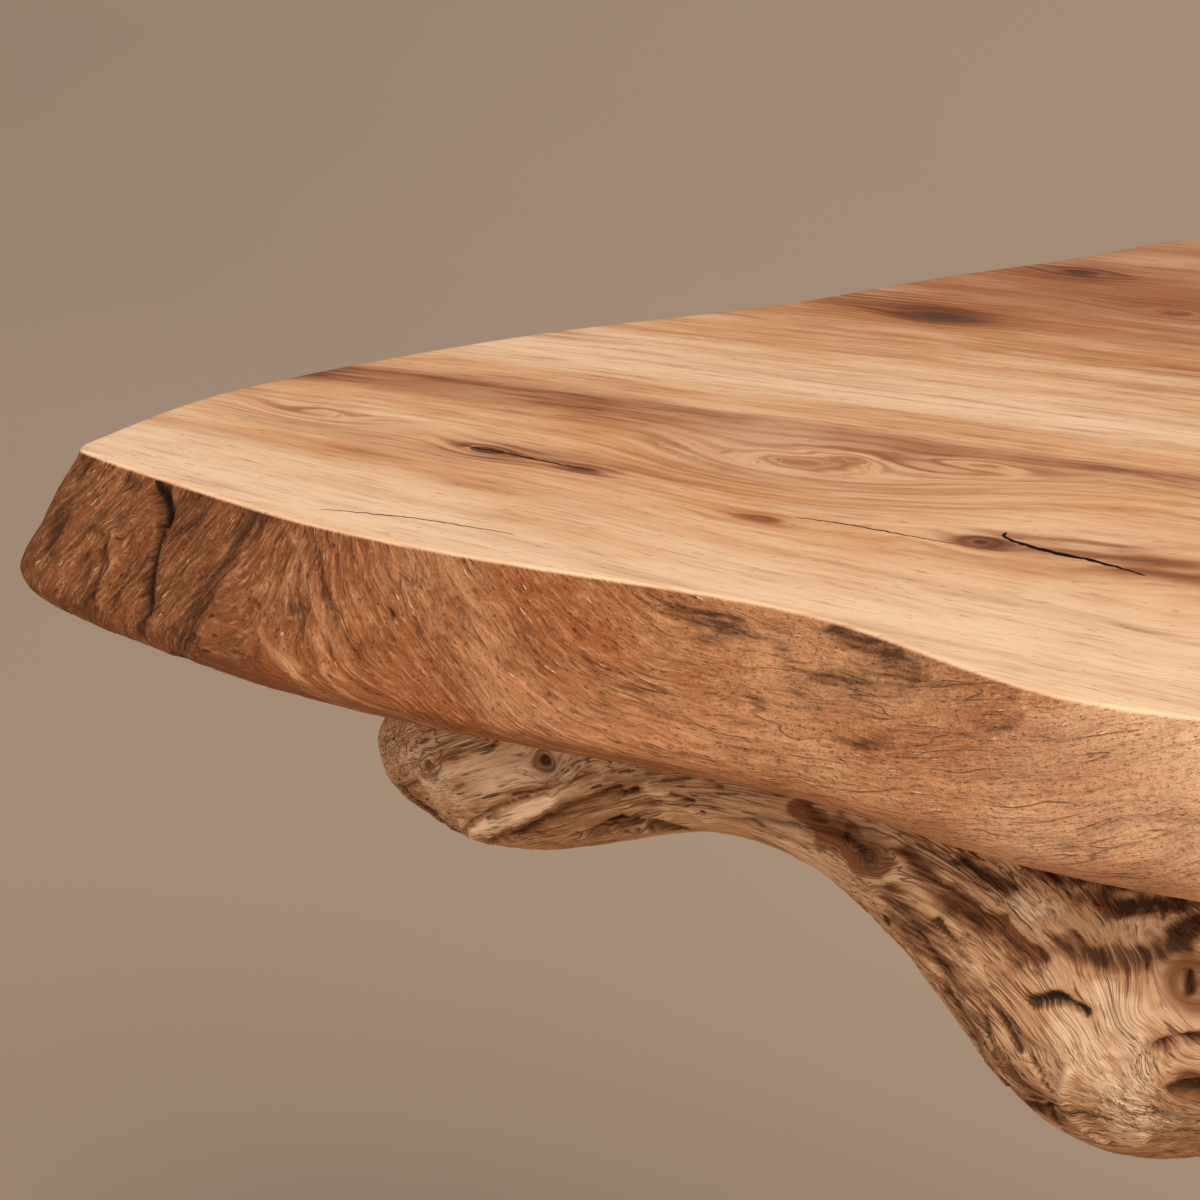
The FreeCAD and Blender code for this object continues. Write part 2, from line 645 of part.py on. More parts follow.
# The four legs and their branch stubs
left_head = -size("left_head_reach")
right_head = size("right_head_reach")
left_foot = -size("left_foot_reach")
right_foot = size("right_foot_reach")
front_foot = -size("front_foot_reach")
rear_foot = size("rear_foot_reach")
legs = {
    "front_left": make_leg("front_left_leg", trunk, left_head, left_foot, front_foot),
    "rear_left": make_leg("rear_left_leg", bearer, left_head, left_foot, rear_foot),
    "front_right": make_leg("front_right_leg", trunk, right_head, right_foot, front_foot),
    "rear_right": make_leg("rear_right_leg", bearer, right_head, right_foot, rear_foot),
}
doc.recompute()
hosts = {"front_left": trunk, "rear_left": bearer, "front_right": trunk, "rear_right": bearer}
faces = {"front_left": FRONT, "rear_left": BACK, "front_right": FRONT, "rear_right": BACK}
for corner, leg in legs.items():
    join(leg, -1, hosts[corner], "leg_tenon", "leg_pegs", faces[corner])

# Side stretchers between the legs, then the long one between them
stretchers = {}
for side, outward in (("left", LEFT), ("right", RIGHT)):
    front_leg = legs[f"front_{side}"]
    rear_leg = legs[f"rear_{side}"]
    stretcher = make_stretcher(f"{side}_stretcher", front_leg.hearts[SHIN], rear_leg.hearts[SHIN], ALONG_Y,
                               size("stretcher_radius"), size("limb_end_radius"))
    stretchers[side] = stretcher
    doc.recompute()
    join(stretcher, 0, front_leg, "stretcher_tenon", "stretcher_pegs", outward)
    join(stretcher, -1, rear_leg, "stretcher_tenon", "stretcher_pegs", outward)
long_stretcher = make_stretcher("long_stretcher", stretchers["left"].hearts[MIDDLE],
                                stretchers["right"].hearts[MIDDLE], ALONG_X, size("long_radius"),
                                size("long_end_radius"))
doc.recompute()
join(long_stretcher, 0, stretchers["left"], "brace_tenon", "stretcher_pegs", UP)
join(long_stretcher, -1, stretchers["right"], "brace_tenon", "stretcher_pegs", UP)

# Knee braces
braces = []
for corner, leg in legs.items():
    brace = make_brace(f"{corner}_brace", leg, hosts[corner])
    doc.recompute()
    join(brace, 0, leg, "brace_tenon", "brace_pegs", faces[corner])
    join(brace, -1, hosts[corner], "brace_tenon", "brace_pegs", faces[corner])
    braces.append(brace)

# Fasteners and glides
for number, share in enumerate(TRUNK_LAGS):
    fit_lag(trunk, number, share)
for number, share in enumerate(BEARER_LAGS):
    fit_lag(bearer, number, share)
for corner, leg in legs.items():
    fit_glide(leg, f"{corner}_glide")

slab = cut("slab_bored", make_slab(), pilot_holes)
slab.Label = "slab_top"
nodes.append(slab)
floor = doc.addObject("Part::Box", "below_feet")
floor.setExpression("Length", "Sizes.table_length")
floor.setExpression("Width", "Sizes.table_depth * 2")
floor.setExpression("Height", "Sizes.glide_thickness + Sizes.foot_radius")
floor.setExpression("Placement.Base.x", "-Sizes.table_length / 2")
floor.setExpression("Placement.Base.y", "-Sizes.table_depth")
floor.setExpression("Placement.Base.z", "-Sizes.foot_radius")
for leg in legs.values():
    leg.holes.append(floor)
for limb in [trunk, bearer, *legs.values(), *stretchers.values(), long_stretcher, *braces]:
    limb.finish()
for label, members in pegs.items():
    group(label, members)
group("lag_screws", lag_screws)
group("lag_washers", lag_washers)
group("glide_nails", glide_nails)
doc.recompute()

for item in doc.Objects:
    if "Invalid" in item.State or "Error" in item.State:
        raise RuntimeError(f"{item.Label} failed: {item.State}")
for node in nodes:
    if node.Shape.isNull() or not node.Shape.isValid():
        raise RuntimeError(f"{node.Label} has no valid shape")

os.makedirs("parts", exist_ok=True)
for node in nodes:
    node.Shape.exportStep(f"parts/{node.Label}.step")
    print(node.Label, len(node.Shape.Solids), "solids", round(node.Shape.Volume / 1000), "cm3")
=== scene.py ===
"""Driftwood console table: the looks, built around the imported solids."""

import math
from collections import namedtuple

import bmesh
import bpy
import numpy as np
from mathutils import Euler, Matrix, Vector, geometry
from mathutils.bvhtree import BVHTree


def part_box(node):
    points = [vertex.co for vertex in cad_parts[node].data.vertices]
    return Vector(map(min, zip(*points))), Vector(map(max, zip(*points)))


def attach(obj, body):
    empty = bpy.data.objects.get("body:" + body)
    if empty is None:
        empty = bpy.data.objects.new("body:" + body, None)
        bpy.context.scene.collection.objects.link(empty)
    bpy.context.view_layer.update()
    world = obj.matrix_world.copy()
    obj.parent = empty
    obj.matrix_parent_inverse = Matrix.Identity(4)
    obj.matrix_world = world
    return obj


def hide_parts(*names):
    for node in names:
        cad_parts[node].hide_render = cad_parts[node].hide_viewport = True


bl_info = {
    "name": "Driftwood Console Table",
    "version": (1, 0, 0),
    "blender": (4, 5, 0),
    "location": "View3D > Sidebar > Table",
    "description": "Builds the slab, the driftwood base, its fixings and the stage of a console table",
    "category": "Object",
}

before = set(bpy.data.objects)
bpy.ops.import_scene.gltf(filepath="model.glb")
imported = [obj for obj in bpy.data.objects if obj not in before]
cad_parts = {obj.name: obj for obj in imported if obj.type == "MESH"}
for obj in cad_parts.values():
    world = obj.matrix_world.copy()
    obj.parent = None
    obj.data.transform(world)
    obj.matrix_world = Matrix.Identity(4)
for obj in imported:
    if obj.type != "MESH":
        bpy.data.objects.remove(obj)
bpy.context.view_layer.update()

MM = 0.001
BODY = "root"
PHOTO_WIDTH = 1200
SENSOR_WIDTH = 36.0
SEED = 7

TRUNK = "trunk_beam"
SLAB = "slab_top"
LOGS = [TRUNK, "rear_bearer"]
LEGS = ["front_left_leg", "rear_left_leg", "front_right_leg", "rear_right_leg"]
STRETCHERS = ["left_stretcher", "right_stretcher", "long_stretcher"]
BRACES = ["front_left_brace", "rear_left_brace", "front_right_brace", "rear_right_brace"]
PEGS = ["leg_pegs", "stretcher_pegs", "brace_pegs"]
STEEL = ["lag_screws", "lag_washers", "glide_nails"]
GLIDES = ["front_left_glide", "rear_left_glide", "front_right_glide", "rear_right_glide"]

# A mark: the photo's pixels that its stroke passes, its half width and depth in millimetres, and how
# far it is stained and rubbed; a negative depth stands proud and a negative stain is paler
# On the trunk, the stain of a few marks is painted shade, a painted shadow or a painted highlight, as noted
# at them
Mark = namedtuple("Mark", "path half_width depth stain polish", defaults=(0.0,))
# A knot on a limb: the place of its heart, its radius in millimetres and its darkness
Knot = namedtuple("Knot", "place radius darkness")
# A spot in the top: its place, half length and half width in millimetres, and its darkness
Spot = namedtuple("Spot", "x y half_x half_y darkness")
# A crack in the top: the places it passes, its half width and its depth in millimetres
Crack = namedtuple("Crack", "places half_width depth")

EDGE_MARKS = {
    "split mouth": Mark([(157, 482), (164, 498), (164, 518)], 4.5, 4.0, 1.0),
    "split": Mark([(164, 515), (157, 540), (151, 569), (148, 606), (142, 635)], 2.4, 2.2, 0.95),
    "split shade": Mark([(193, 500), (179, 520)], 8.0, 0.5, 0.55),
    "corner streak": Mark([(86, 459), (66, 505), (47, 548)], 4.5, 0.8, 0.75),
    "gnarl fork": Mark([(97, 524), (117, 532), (132, 519)], 2.2, -2.0, -0.12),
    "gnarl stem": Mark([(117, 532), (112, 551), (116, 567), (102, 585), (100, 605)], 2.2, -2.2, -0.16),
    "gnarl left shade": Mark([(107, 542), (99, 565), (93, 594)], 2.2, 1.6, 0.60),
    "gnarl right shade": Mark([(128, 551), (123, 575), (111, 606)], 1.8, 1.4, 0.50),
    "rim knot": Mark([(128, 478), (138, 486)], 2.6, 1.4, 0.70),
    "low hollow": Mark([(83, 568), (84, 610)], 5.0, 0.8, 0.55),
    "dark streak": Mark([(265, 515), (244, 530), (221, 566), (203, 599), (188, 633), (184, 658)],
                        4.4, 0.9, 0.85),
    "grey streak": Mark([(203, 509), (180, 561), (161, 606)], 6.0, 0.4, 0.35),
    "curved tear": Mark([(314, 540), (320, 573), (331, 610), (351, 649), (373, 672)], 1.2, 1.0, 0.55),
    "tear lip": Mark([(303, 542), (306, 575), (317, 612), (338, 651)], 1.5, -1.2, -0.22),
    "tear end": Mark([(352, 651), (367, 636)], 1.0, 0.9, 0.60),
    "pale fork": Mark([(290, 533), (301, 550), (289, 575), (280, 594)], 1.2, -0.9, -0.22),
    "low scuff": Mark([(259, 627), (264, 641), (278, 657), (295, 677)], 1.2, -1.0, -0.24),
    "middle scuff": Mark([(309, 631), (320, 650), (324, 674)], 1.1, -0.9, -0.20),
    "borer hole": Mark([(390, 615)], 1.7, 2.2, 1.0),
    "short check": Mark([(415, 629), (428, 653), (441, 683)], 1.0, 0.8, 0.45),
    "long check": Mark([(489, 589), (505, 611), (531, 632), (562, 659), (582, 672)], 1.0, 0.9, 0.45),
    "pale sweep": Mark([(434, 553), (451, 566), (465, 595), (492, 618)], 1.4, -0.8, -0.18),
    "level line": Mark([(581, 650), (601, 680), (670, 694), (729, 700), (820, 709)], 1.1, 0.9, 0.55),
    "wavy line": Mark([(680, 752), (704, 746), (741, 748), (770, 755), (805, 768)], 1.0, 0.8, 0.50),
    "low dash": Mark([(713, 739), (741, 774)], 1.4, 0.7, 0.35),
    "left stain": Mark([(653, 597), (693, 618), (735, 630), (779, 638)], 4.4, 0.8, 0.66),
    "right stain": Mark([(841, 632), (876, 651), (910, 672)], 6.5, 0.8, 0.60),
    "stain tail": Mark([(910, 679), (860, 684), (793, 677)], 6.0, 0.4, 0.50),
    "crease": Mark([(830, 739), (885, 746), (934, 757), (976, 748), (1016, 717)], 1.5, 0.9, 0.50),
    "arris scuff": Mark([(1031, 688), (1022, 702), (1028, 715)], 1.6, -0.8, -0.40),
    "right dash": Mark([(1016, 780), (1045, 780), (1072, 777)], 1.2, 0.8, 0.55),
    "right shade": Mark([(1030, 780), (1101, 758), (1171, 744)], 4.0, 0.4, 0.22),
    "far crease": Mark([(1077, 832), (1134, 818), (1199, 822)], 1.4, 0.8, 0.40),
}

TRUNK_MARKS = {
    "pale tip": Mark([(418, 777), (460, 767), (533, 777), (600, 768)], 13.0, 0.0, -0.32),
    "tip bark": Mark([(405, 793), (419, 806), (452, 830), (464, 835)], 4.2, 1.2, 0.82),
    "tip fleck": Mark([(404, 740)], 1.2, 0.8, 0.70),
    "tip dash": Mark([(409, 785), (416, 782)], 1.0, 0.8, 0.80),
    "tip tick": Mark([(452, 791), (461, 786)], 0.9, 0.6, 0.70),
    "knot arc": Mark([(426, 765), (443, 756), (458, 752)], 1.5, 0.7, 0.60),
    "finger ridge": Mark([(472, 830), (502, 821), (527, 809), (549, 803)], 3.8, -2.4, -0.75),
    "finger outline": Mark([(466, 835), (470, 822), (491, 810), (529, 797)], 0.9, 1.0, 0.75),
    "finger groove": Mark([(488, 841), (529, 830), (562, 809), (595, 798), (619, 789)], 2.0, 1.6, 0.72),
    "upper streak": Mark([(511, 796), (546, 789), (572, 781), (592, 771)], 1.1, 0.9, 0.75),
    "tip hollow": Mark([(594, 836), (620, 828), (642, 827), (666, 831)], 5.2, 3.4, 1.0),
    "hollow rim": Mark([(581, 830), (608, 817), (632, 815), (668, 822)], 1.7, -1.0, -0.45),
    "loop hole": Mark([(622, 796), (634, 792)], 1.7, 2.0, 1.0),
    "loop line": Mark([(630, 806), (660, 805)], 1.2, 1.2, 0.85),
    "loop lip": Mark([(647, 789), (682, 804), (708, 825)], 2.2, -0.8, -0.35),
    "neck line": Mark([(661, 781), (699, 776), (721, 788)], 0.9, 0.6, 0.70),
    "neck dash": Mark([(670, 796), (691, 803)], 1.2, 1.0, 0.90),
    "neck dot": Mark([(701, 815)], 1.4, 1.0, 0.80),
    "neck pit": Mark([(886, 917), (892, 929)], 1.2, 1.0, 0.90),
    "patch start": Mark([(798, 810), (824, 823)], 5.0, 0.4, 0.42, 1.0),
    "rubbed patch": Mark([(831, 831), (855, 849), (876, 866)], 8.0, 0.5, 0.45, 1.0),
    "patch spot": Mark([(811, 813), (824, 819)], 1.8, 0.8, 0.85),
    "patch fleck": Mark([(845, 836), (861, 847)], 1.6, 0.8, 0.85),
    "long streak": Mark([(906, 849), (926, 874), (954, 904), (992, 928)], 3.4, 1.8, 0.80, 0.7),
    "streak blob": Mark([(954, 904), (992, 928), (1038, 959)], 5.4, 2.2, 0.80, 0.8),
    "almond": Mark([(965, 861), (987, 879), (1014, 889)], 2.4, 1.6, 0.85),
    # Painted shadow: dark on the trunk just under the slab, where the slab shades it
    "shadow under slab": Mark([(1026, 866), (1068, 879), (1125, 884)], 2.6, 0.8, 0.75),
    # Painted shade: browner and darker along the trunk's left flank, which lies in shade
    "flank in shade": Mark([(898, 905), (934, 952), (965, 1010), (1002, 1068), (1047, 1109)], 8.5, 0.0, 0.62),
    "flank streak": Mark([(911, 919), (946, 972), (986, 1034), (1028, 1088)], 1.3, 0.8, 0.80),
    "flank check": Mark([(934, 952), (960, 1014), (993, 1070)], 1.7, 1.0, 0.85),
    "flank dash": Mark([(938, 919), (962, 954)], 1.2, 0.8, 0.80),
    "flank tick": Mark([(998, 1010), (1020, 1050)], 1.1, 0.8, 0.80),
    "pale flow": Mark([(1015, 901), (1047, 925), (1091, 974), (1124, 1013), (1141, 1061), (1134, 1106),
                       (1128, 1137)], 7.0, -1.2, -0.60),
    # Painted highlight over bleached wood: paler on the bulge where the light from the right falls
    "bulge bleach and highlight": Mark([(1071, 1035), (1113, 1089), (1139, 1123)], 7.0, 0.0, -0.50),
    "splinter hole": Mark([(1034, 1001), (1059, 997), (1084, 1012)], 1.9, 2.6, 1.0),
    "slab hollow": Mark([(1086, 896), (1115, 908), (1150, 906), (1191, 899)], 3.4, 2.4, 0.86),
    "pale hook": Mark([(1085, 886), (1091, 909), (1120, 921), (1152, 918), (1198, 908)], 1.8, -1.6, -0.70),
    "dark band": Mark([(1062, 947), (1093, 959), (1135, 962), (1169, 947), (1198, 920)], 5.4, 1.8, 0.86, 0.5),
    "burl heart": Mark([(1184, 974), (1185, 997)], 1.6, 2.0, 1.0),
    "burl fold": Mark([(1154, 1048), (1172, 1042), (1198, 1038)], 2.4, 2.2, 0.90),
    "low fold": Mark([(1170, 1091), (1198, 1093)], 3.0, 1.8, 0.80),
    "bulge check": Mark([(986, 1016), (991, 1044), (1000, 1062)], 0.9, 0.9, 0.80),
    "bulge dash": Mark([(1033, 1060), (1052, 1091)], 0.9, 0.9, 0.80),
    "low ridge": Mark([(1069, 1071), (1061, 1096), (1079, 1123), (1106, 1140)], 1.8, -1.4, -0.50),
    "low bark": Mark([(1004, 1081), (1016, 1096), (1050, 1111)], 2.8, 1.6, 0.95),
    "low tick": Mark([(1046, 1104), (1058, 1122)], 1.8, 1.4, 0.90),
}

# The ragged sides of marks: waves by share of the half width and length
RAGGED = [(0.35, 9 * MM), (0.2, 4 * MM)]

# Knots on the trunk, placed by the photo's pixels
TRUNK_KNOTS = {
    "round knot": Knot((542, 762), 3.1, 1.0),
    "patch knot": Knot((869, 857), 3.8, 0.9),
    "burl": Knot((1194, 987), 10.0, 0.7),
    "low burl": Knot((1193, 1092), 7.0, 0.7),
    "oval knot": Knot((426, 765), 2.2, 0.6),
}

# Knots in the top, which the grain bends round
TOP_KNOTS = {
    "swirl": Spot(-484, -73, 40, 24, 0.30),
    "swirl tail": Spot(-450, -55, 30, 9, 0.14),
    "small knot": Spot(-478, -126, 9, 4, 0.55),
    "split knot": Spot(-416, -112, 9, 6, 0.85),
    "check knot": Spot(-576, -116, 14, 7, 0.50),
    "check end": Spot(-543, -116, 10, 4, 0.60),
    "left knot": Spot(-641, -113, 17, 7, 0.50),
    "rear knot": Spot(-522, 73, 17, 8, 0.75),
    "back knot": Spot(-504, 143, 16, 8, 0.85),
    "far knot": Spot(-458, 117, 22, 11, 0.60),
    "guessed left knot": Spot(-190, 60, 46, 22, 0.55),
    "guessed middle knot": Spot(60, -84, 42, 18, 0.60),
    "guessed rear knot": Spot(235, 92, 54, 20, 0.45),
    "guessed right knot": Spot(470, -30, 46, 21, 0.65),
}
# Stains in the top, which the grain runs straight through
TOP_STAINS = {
    "split shade": Spot(-392, -103, 30, 11, 0.62),
    "split tail": Spot(-352, -104, 34, 12, 0.45),
    "check shade": Spot(-560, -115, 38, 13, 0.35),
    "left line": Spot(-606, -138, 18, 3.5, 0.45),
    "front line": Spot(-628, -182, 22, 3.5, 0.36),
    "right line": Spot(-345, -152, 26, 3.0, 0.50),
    "rear shade": Spot(-545, 78, 48, 20, 0.55),
    "back shade": Spot(-505, 136, 44, 18, 0.40),
    "middle band": Spot(-430, 60, 60, 12, 0.30),
    "guessed front stain": Spot(330, -60, 70, 9, 0.35),
    "guessed rear stain": Spot(-40, 100, 90, 12, 0.35),
}
# Cracks in the top that the photo shows, placed by its pixels
SHOWN_CRACKS = {
    "knot split": Crack([(1007, 532), (1003, 535), (1010, 540), (1033, 547), (1060, 554), (1087, 559),
                         (1124, 569), (1146, 576)], 0.95, 6.0),
    "left check": Crack([(460, 445), (489, 450), (516, 455), (553, 463), (597, 471)], 0.42, 4.0),
    "swirl check": Crack([(796, 517), (851, 525), (905, 535), (957, 544)], 0.26, 1.5),
    "front hairline": Crack([(318, 509), (355, 512), (396, 516), (435, 521), (477, 528), (515, 534)],
                            0.2, 1.0),
}
# Cracks past the photo's edge, placed in millimetres
GUESSED_CRACKS = {
    "middle check": Crack([(41, -85), (54, -83), (68, -84), (82, -82)], 0.9, 5.0),
    "right end check": Crack([(640, 10), (600, 12), (560, 9), (522, 12)], 0.9, 6.0),
    "right corner check": Crack([(632, -96), (600, -93), (574, -95)], 0.7, 5.0),
}
# Steps along a crack, how far it strays from its path, and the width of its sharp lip
CRACK_STEP = 1.6 * MM
CRACK_STRAY = 0.18 * MM
CRACK_LIP = 0.3 * MM

# The grain of the top fans out, in metres: the lines between which it turns, its slope in front of them,
# how much more it slopes behind them, and the length over which it straightens from the left end on
FAN_FRONT = -0.185
FAN_BACK = -0.04
FRONT_SLOPE = -0.05
FAN_SLOPE = 0.28
FAN_LENGTH = 0.45
LEFT_END = -0.69
# Zones of the top by grain line, in metres: heartwood, the browner back, and a pale band that fades out
HEART_ZONE = (-0.17, -0.105)
BACK_ZONE = (-0.02, 0.09)
PALE_LINE = -0.045
PALE_REACH = (0.027, 0.006)
# The dark streak of the top, in metres: its grain line, half width, how much wider it gets and over which
# stretch, where it ends, and the width of the rings round knots
STREAK_LINE = -0.0855
STREAK_WIDTH = 0.006
STREAK_FLARE = 0.008
FLARE_SPAN = (-0.45, -0.66)
STREAK_END = (-0.30, -0.47)
RING_WIDTH = 3.3 * MM

# The trunk's fibres, in metres: they rise through its tip, turn down round a centre below its waist, run
# level at its foot, and change to the plain grain of a limb further on
TIP_END = -0.475
TIP_RISE = 0.53
TIP_BEND = 8 * MM
TURN_X = -0.417
TURN_Z = 0.6245
TURN_RADIUS = 0.085
FOOT_ALONG = 0.452
FOOT_ACROSS = -0.591
FOOT_HEIGHTS = (0.672, 0.648)
FOOT_SPAN = (-0.40, -0.37)
PLAIN_SPAN = (-0.30, -0.24)
# The photographed end of the trunk: where it ends in metres, the way to the viewer and how far a face has
# to look that way, and where guessed knots and marks begin in millimetres
FRONT_END = -0.28
TO_VIEWER = Vector((0.48, -0.80, 0.36))
FACING = 0.05
GUESSED_KNOTS_FROM = -290
GUESSED_MARKS_FROM = -270
# Guessed marks: how many a limb of each group gets, and what they are drawn from, lengths in millimetres
LOG_MARKS = 30
LEG_MARKS = 26
STRETCHER_MARKS = 12
BRACE_MARKS = 9
KNOT_RADII = (3.5, 7.5)
KNOT_DARKNESS = (0.5, 1.0)
MARK_REACH = (10, 34)
MARK_SWAY = 2.5
HOLLOW_WIDTH = (2.5, 5.5)
HOLLOW_DEPTH = (1.2, 3.2)
HOLLOW_STAIN = (0.5, 0.95)
RIDGE_WIDTH = (4, 7)
RIDGE_HEIGHT = (0.8, 2.0)
RIDGE_STAIN = -0.35
# Turn of a limb's grain round its heart, in radians per metre, and the spacing of the stations along it
GRAIN_TWIST = 1.1
STATION_STEP = 0.018
# The number inputs of the weathering nodes, with their default values
WEATHER_INPUTS = [("Groove Depth", 1 * MM), ("Lump Height", 2 * MM), ("Seed", 0.0)]
# Heights over which a limb's wear fades in: below the slab, and above the floor
SLAB_FADE = (0.4 * MM, 5 * MM)
FLOOR_FADE = (9 * MM, 16 * MM)
# The least half width of a limb that its grain is reckoned with
LEAST_HALF = 4 * MM
# A knot's raised collar and the pit at its heart, in knot radii
COLLAR_HEIGHT = 0.16
COLLAR_RADIUS = 1.25
PIT_DEPTH = 0.30
# Points of a solid closer than this are one point
WELD = 0.01 * MM

# The photographed corner of the slab, in metres: it has the close columns, and covers a stretch of edge
CORNER_X = -0.285
CORNER_Y = -0.10
CORNER_EDGE = 0.40
# Half the stretch over which the outward directions of the edge are averaged
OUTWARD_REACH = 18 * MM
# The rubbed arris: how far each row lies outside the top's outline and below the top, in arris radii
ARRIS_ROWS = [(-2.6, 0.0), (-1.0, 0.0), (-0.35, -0.1), (0.02, -0.45)]
# The edge is cast in rows from a line inside the slab, at mid height, down to a turn below the level
INNER = 25 * MM
HALF_RISE = 27 * MM
EDGE_ROWS = 62
LAST_TURN = math.radians(-74)
# The top's points, how far they keep from its rim and from cracks, and the same for the underside
TOP_GRID = 9 * MM
TOP_MARGIN = 5 * MM
CRACK_MARGIN = 3.5 * MM
UNDER_GRID = 60 * MM
UNDER_MARGIN = 30 * MM
# Where the look and the wear of the live edge fade in, in arris radii down from the top
LOOK_FADE = (2.7, 3.4)
WEAR_FADE = (3.5, 9.0)
# Heights above the underside over which that look fades out, by a share, and that wear fades in
LOW_LOOK_FADE = (1.2 * MM, 0.2 * MM)
LOW_LOOK_SHARE = 0.6
LOW_WEAR_FADE = (0.3 * MM, 6 * MM)
# Wear of the live edge in the photographed corner and elsewhere, and the seed of its weathering
CORNER_WEAR = 0.8
OTHER_WEAR = 1.6
SLAB_SEED = 4.0
# How the fibres of the live edge lean: distance along the edge in metres, degrees below the edge line
FIBRE_LEANS = [
    (0.0, 112), (0.03, 114), (0.075, 112), (0.105, 78), (0.14, 46), (0.17, 40), (0.19, 30), (0.21, 16),
    (0.235, 2), (0.26, -8), (0.30, -16), (0.36, -22), (0.42, -20), (0.60, 6), (0.90, -6), (1.20, 8),
    (1.40, 60), (1.85, 70), (2.2, 8), (2.7, -8), (3.1, 60),
]
# Tone of the live edge by distance along it: below zero darker, above zero paler. Partly the wood's own
# colour, partly painted shade near the front left corner and painted light further along the front
EDGE_TONE_AND_LIGHT = [
    (0.0, -0.58), (0.05, -0.52), (0.09, -0.46), (0.12, -0.20), (0.20, 0.02), (0.26, 0.34), (0.31, 0.44),
    (0.36, 0.88), (0.42, 1.2), (0.70, 0.3), (1.0, 0.35), (1.35, 0.1), (1.8, -0.2), (2.4, 0.2), (3.0, -0.1),
]

# A light: its place, aim and size in metres, and its colour
Lamp = namedtuple("Lamp", "place aim size shade")
KEY_LAMP = Lamp((2.1, -1.7, 2.9), (-0.1, 0.0, 0.6), 1.8, (1.0, 0.965, 0.92))
FILL_LAMP = Lamp((-2.4, -2.6, 1.7), (-0.2, 0.0, 0.6), 2.4, (1.0, 0.97, 0.95))
SKY_SHADE = (1.0, 0.98, 0.955)
FLOOR_RADIUS = 14
FLOOR_SIDES = 96


def tone(red, green, blue):
    """A display colour, 0 to 255, as the linear colour that Blender works with."""
    return tuple(c / 12.92 if c <= 0.04045 else ((c + 0.055) / 1.055) ** 2.4
                 for c in (red / 255, green / 255, blue / 255))


def colour_property(name, description, shade):
    """A colour that the panel shows, from a display colour."""
    return bpy.props.FloatVectorProperty(
        name=name, description=description, subtype="COLOR", size=3, min=0, max=1, default=tone(*shade))


def length_property(name, description, metres):
    """A length that the panel shows."""
    return bpy.props.FloatProperty(
        name=name, description=description, unit="LENGTH", subtype="DISTANCE", min=0, default=metres)


class SlabLook(bpy.types.PropertyGroup):
    """Sizes and colours of the live-edge slab."""
    sapwood: colour_property("Sapwood", "Pale wood along the front of the top", (255, 212, 170))
    heartwood: colour_property("Heartwood", "Middle tone of the top", (226, 160, 104))
    figure: colour_property("Figure", "Brown bands in the top", (156, 82, 34))
    streak: colour_property("Streak", "Dark knots and streaks in the top", (82, 42, 18))
    # Along the live edge, Sapwood, Pale edge and Dark edge also paint light and shade: darker near the front
    # left corner, paler further along the front
    edge: colour_property("Live edge", "Middle tone of the live edge", (159, 93, 51))
    edge_pale: colour_property("Pale edge", "Fibres and rubbed places of the live edge", (222, 162, 114))
    edge_dark: colour_property("Dark edge", "Stains of the live edge", (64, 32, 12))
    hollow: colour_property("Hollows", "Cracks and holes", (24, 11, 6))
    arris: length_property("Arris", "Radius of the rubbed top arris", 0.9 * MM)
    fine: length_property("Fine columns", "Column spacing along the worked front corner", 1.25 * MM)
    coarse: length_property("Wide columns", "Column spacing along the rest of the edge", 4.0 * MM)
    groove: length_property("Edge grooves", "Depth of the weathered grooves in the live edge", 0.55 * MM)
    lump: length_property("Edge lumps", "Height of the slow swells in the live edge", 1.6 * MM)


class DriftwoodLook(bpy.types.PropertyGroup):
    """Sizes and colours of the driftwood limbs."""
    # Pale also paints the highlight on the trunk's bulge
    pale: colour_property("Pale", "Bleached ridges", (232, 194, 156))
    tan: colour_property("Tan", "Middle tone", (196, 148, 106))
    # Brown and Dark also paint the shade on the trunk's left flank and the shadow under the slab
    brown: colour_property("Brown", "Sheltered sides and fibre lines", (124, 76, 40))
    dark: colour_property("Dark", "Stains, knots and flecks", (60, 32, 13))
    hollow: colour_property("Hollow", "Deep holes", (22, 11, 5))
    polish: colour_property("Polish", "Rubbed brown patches", (122, 62, 22))
    trunk_voxel: length_property("Trunk voxel", "Mesh size of the trunk", 3.3 * MM)
    limb_voxel: length_property("Limb voxel", "Mesh size of the other limbs", 2.8 * MM)
    groove: length_property("Grooves", "Depth of the weathered grooves", 1.3 * MM)
    lump: length_property("Lumps", "Height of the slow swells", 3.0 * MM)


class FixingLook(bpy.types.PropertyGroup):
    """Colours of pegs, screws and glides."""
    peg: colour_property("Pegs", "Riven hardwood", (150, 98, 60))
    steel: colour_property("Steel", "Zinc-plated screws, washers and nails", (176, 174, 170))
    nylon: colour_property("Glides", "Brown nylon", (62, 50, 42))


class StageLook(bpy.types.PropertyGroup):
    """Camera, floor and lights."""
    floor: colour_property("Floor", "Plain pale floor", (207, 178, 153))
    backdrop: colour_property("Backdrop", "Background past the floor", (160, 136, 116))
    camera: bpy.props.FloatVectorProperty(
        name="Camera", description="Place of the camera", subtype="TRANSLATION", unit="LENGTH",
        default=(0.0578, -1.1071, 1.1840))
    pitch: bpy.props.FloatProperty(
        name="Pitch", description="Camera's tilt below the horizon", subtype="ANGLE",
        default=math.radians(21))
    turn: bpy.props.FloatProperty(
        name="Turn", description="Camera's turn to the left", subtype="ANGLE", default=math.radians(31))
    lens: bpy.props.FloatProperty(name="Lens", description="Focal length", unit="CAMERA", default=126)
    key: bpy.props.FloatProperty(name="Key", description="Key light", unit="POWER", default=128)
    fill: bpy.props.FloatProperty(name="Fill", description="Fill light", unit="POWER", default=32)
    sky: bpy.props.FloatProperty(name="Sky", description="Strength of the surrounding light", default=0.34)


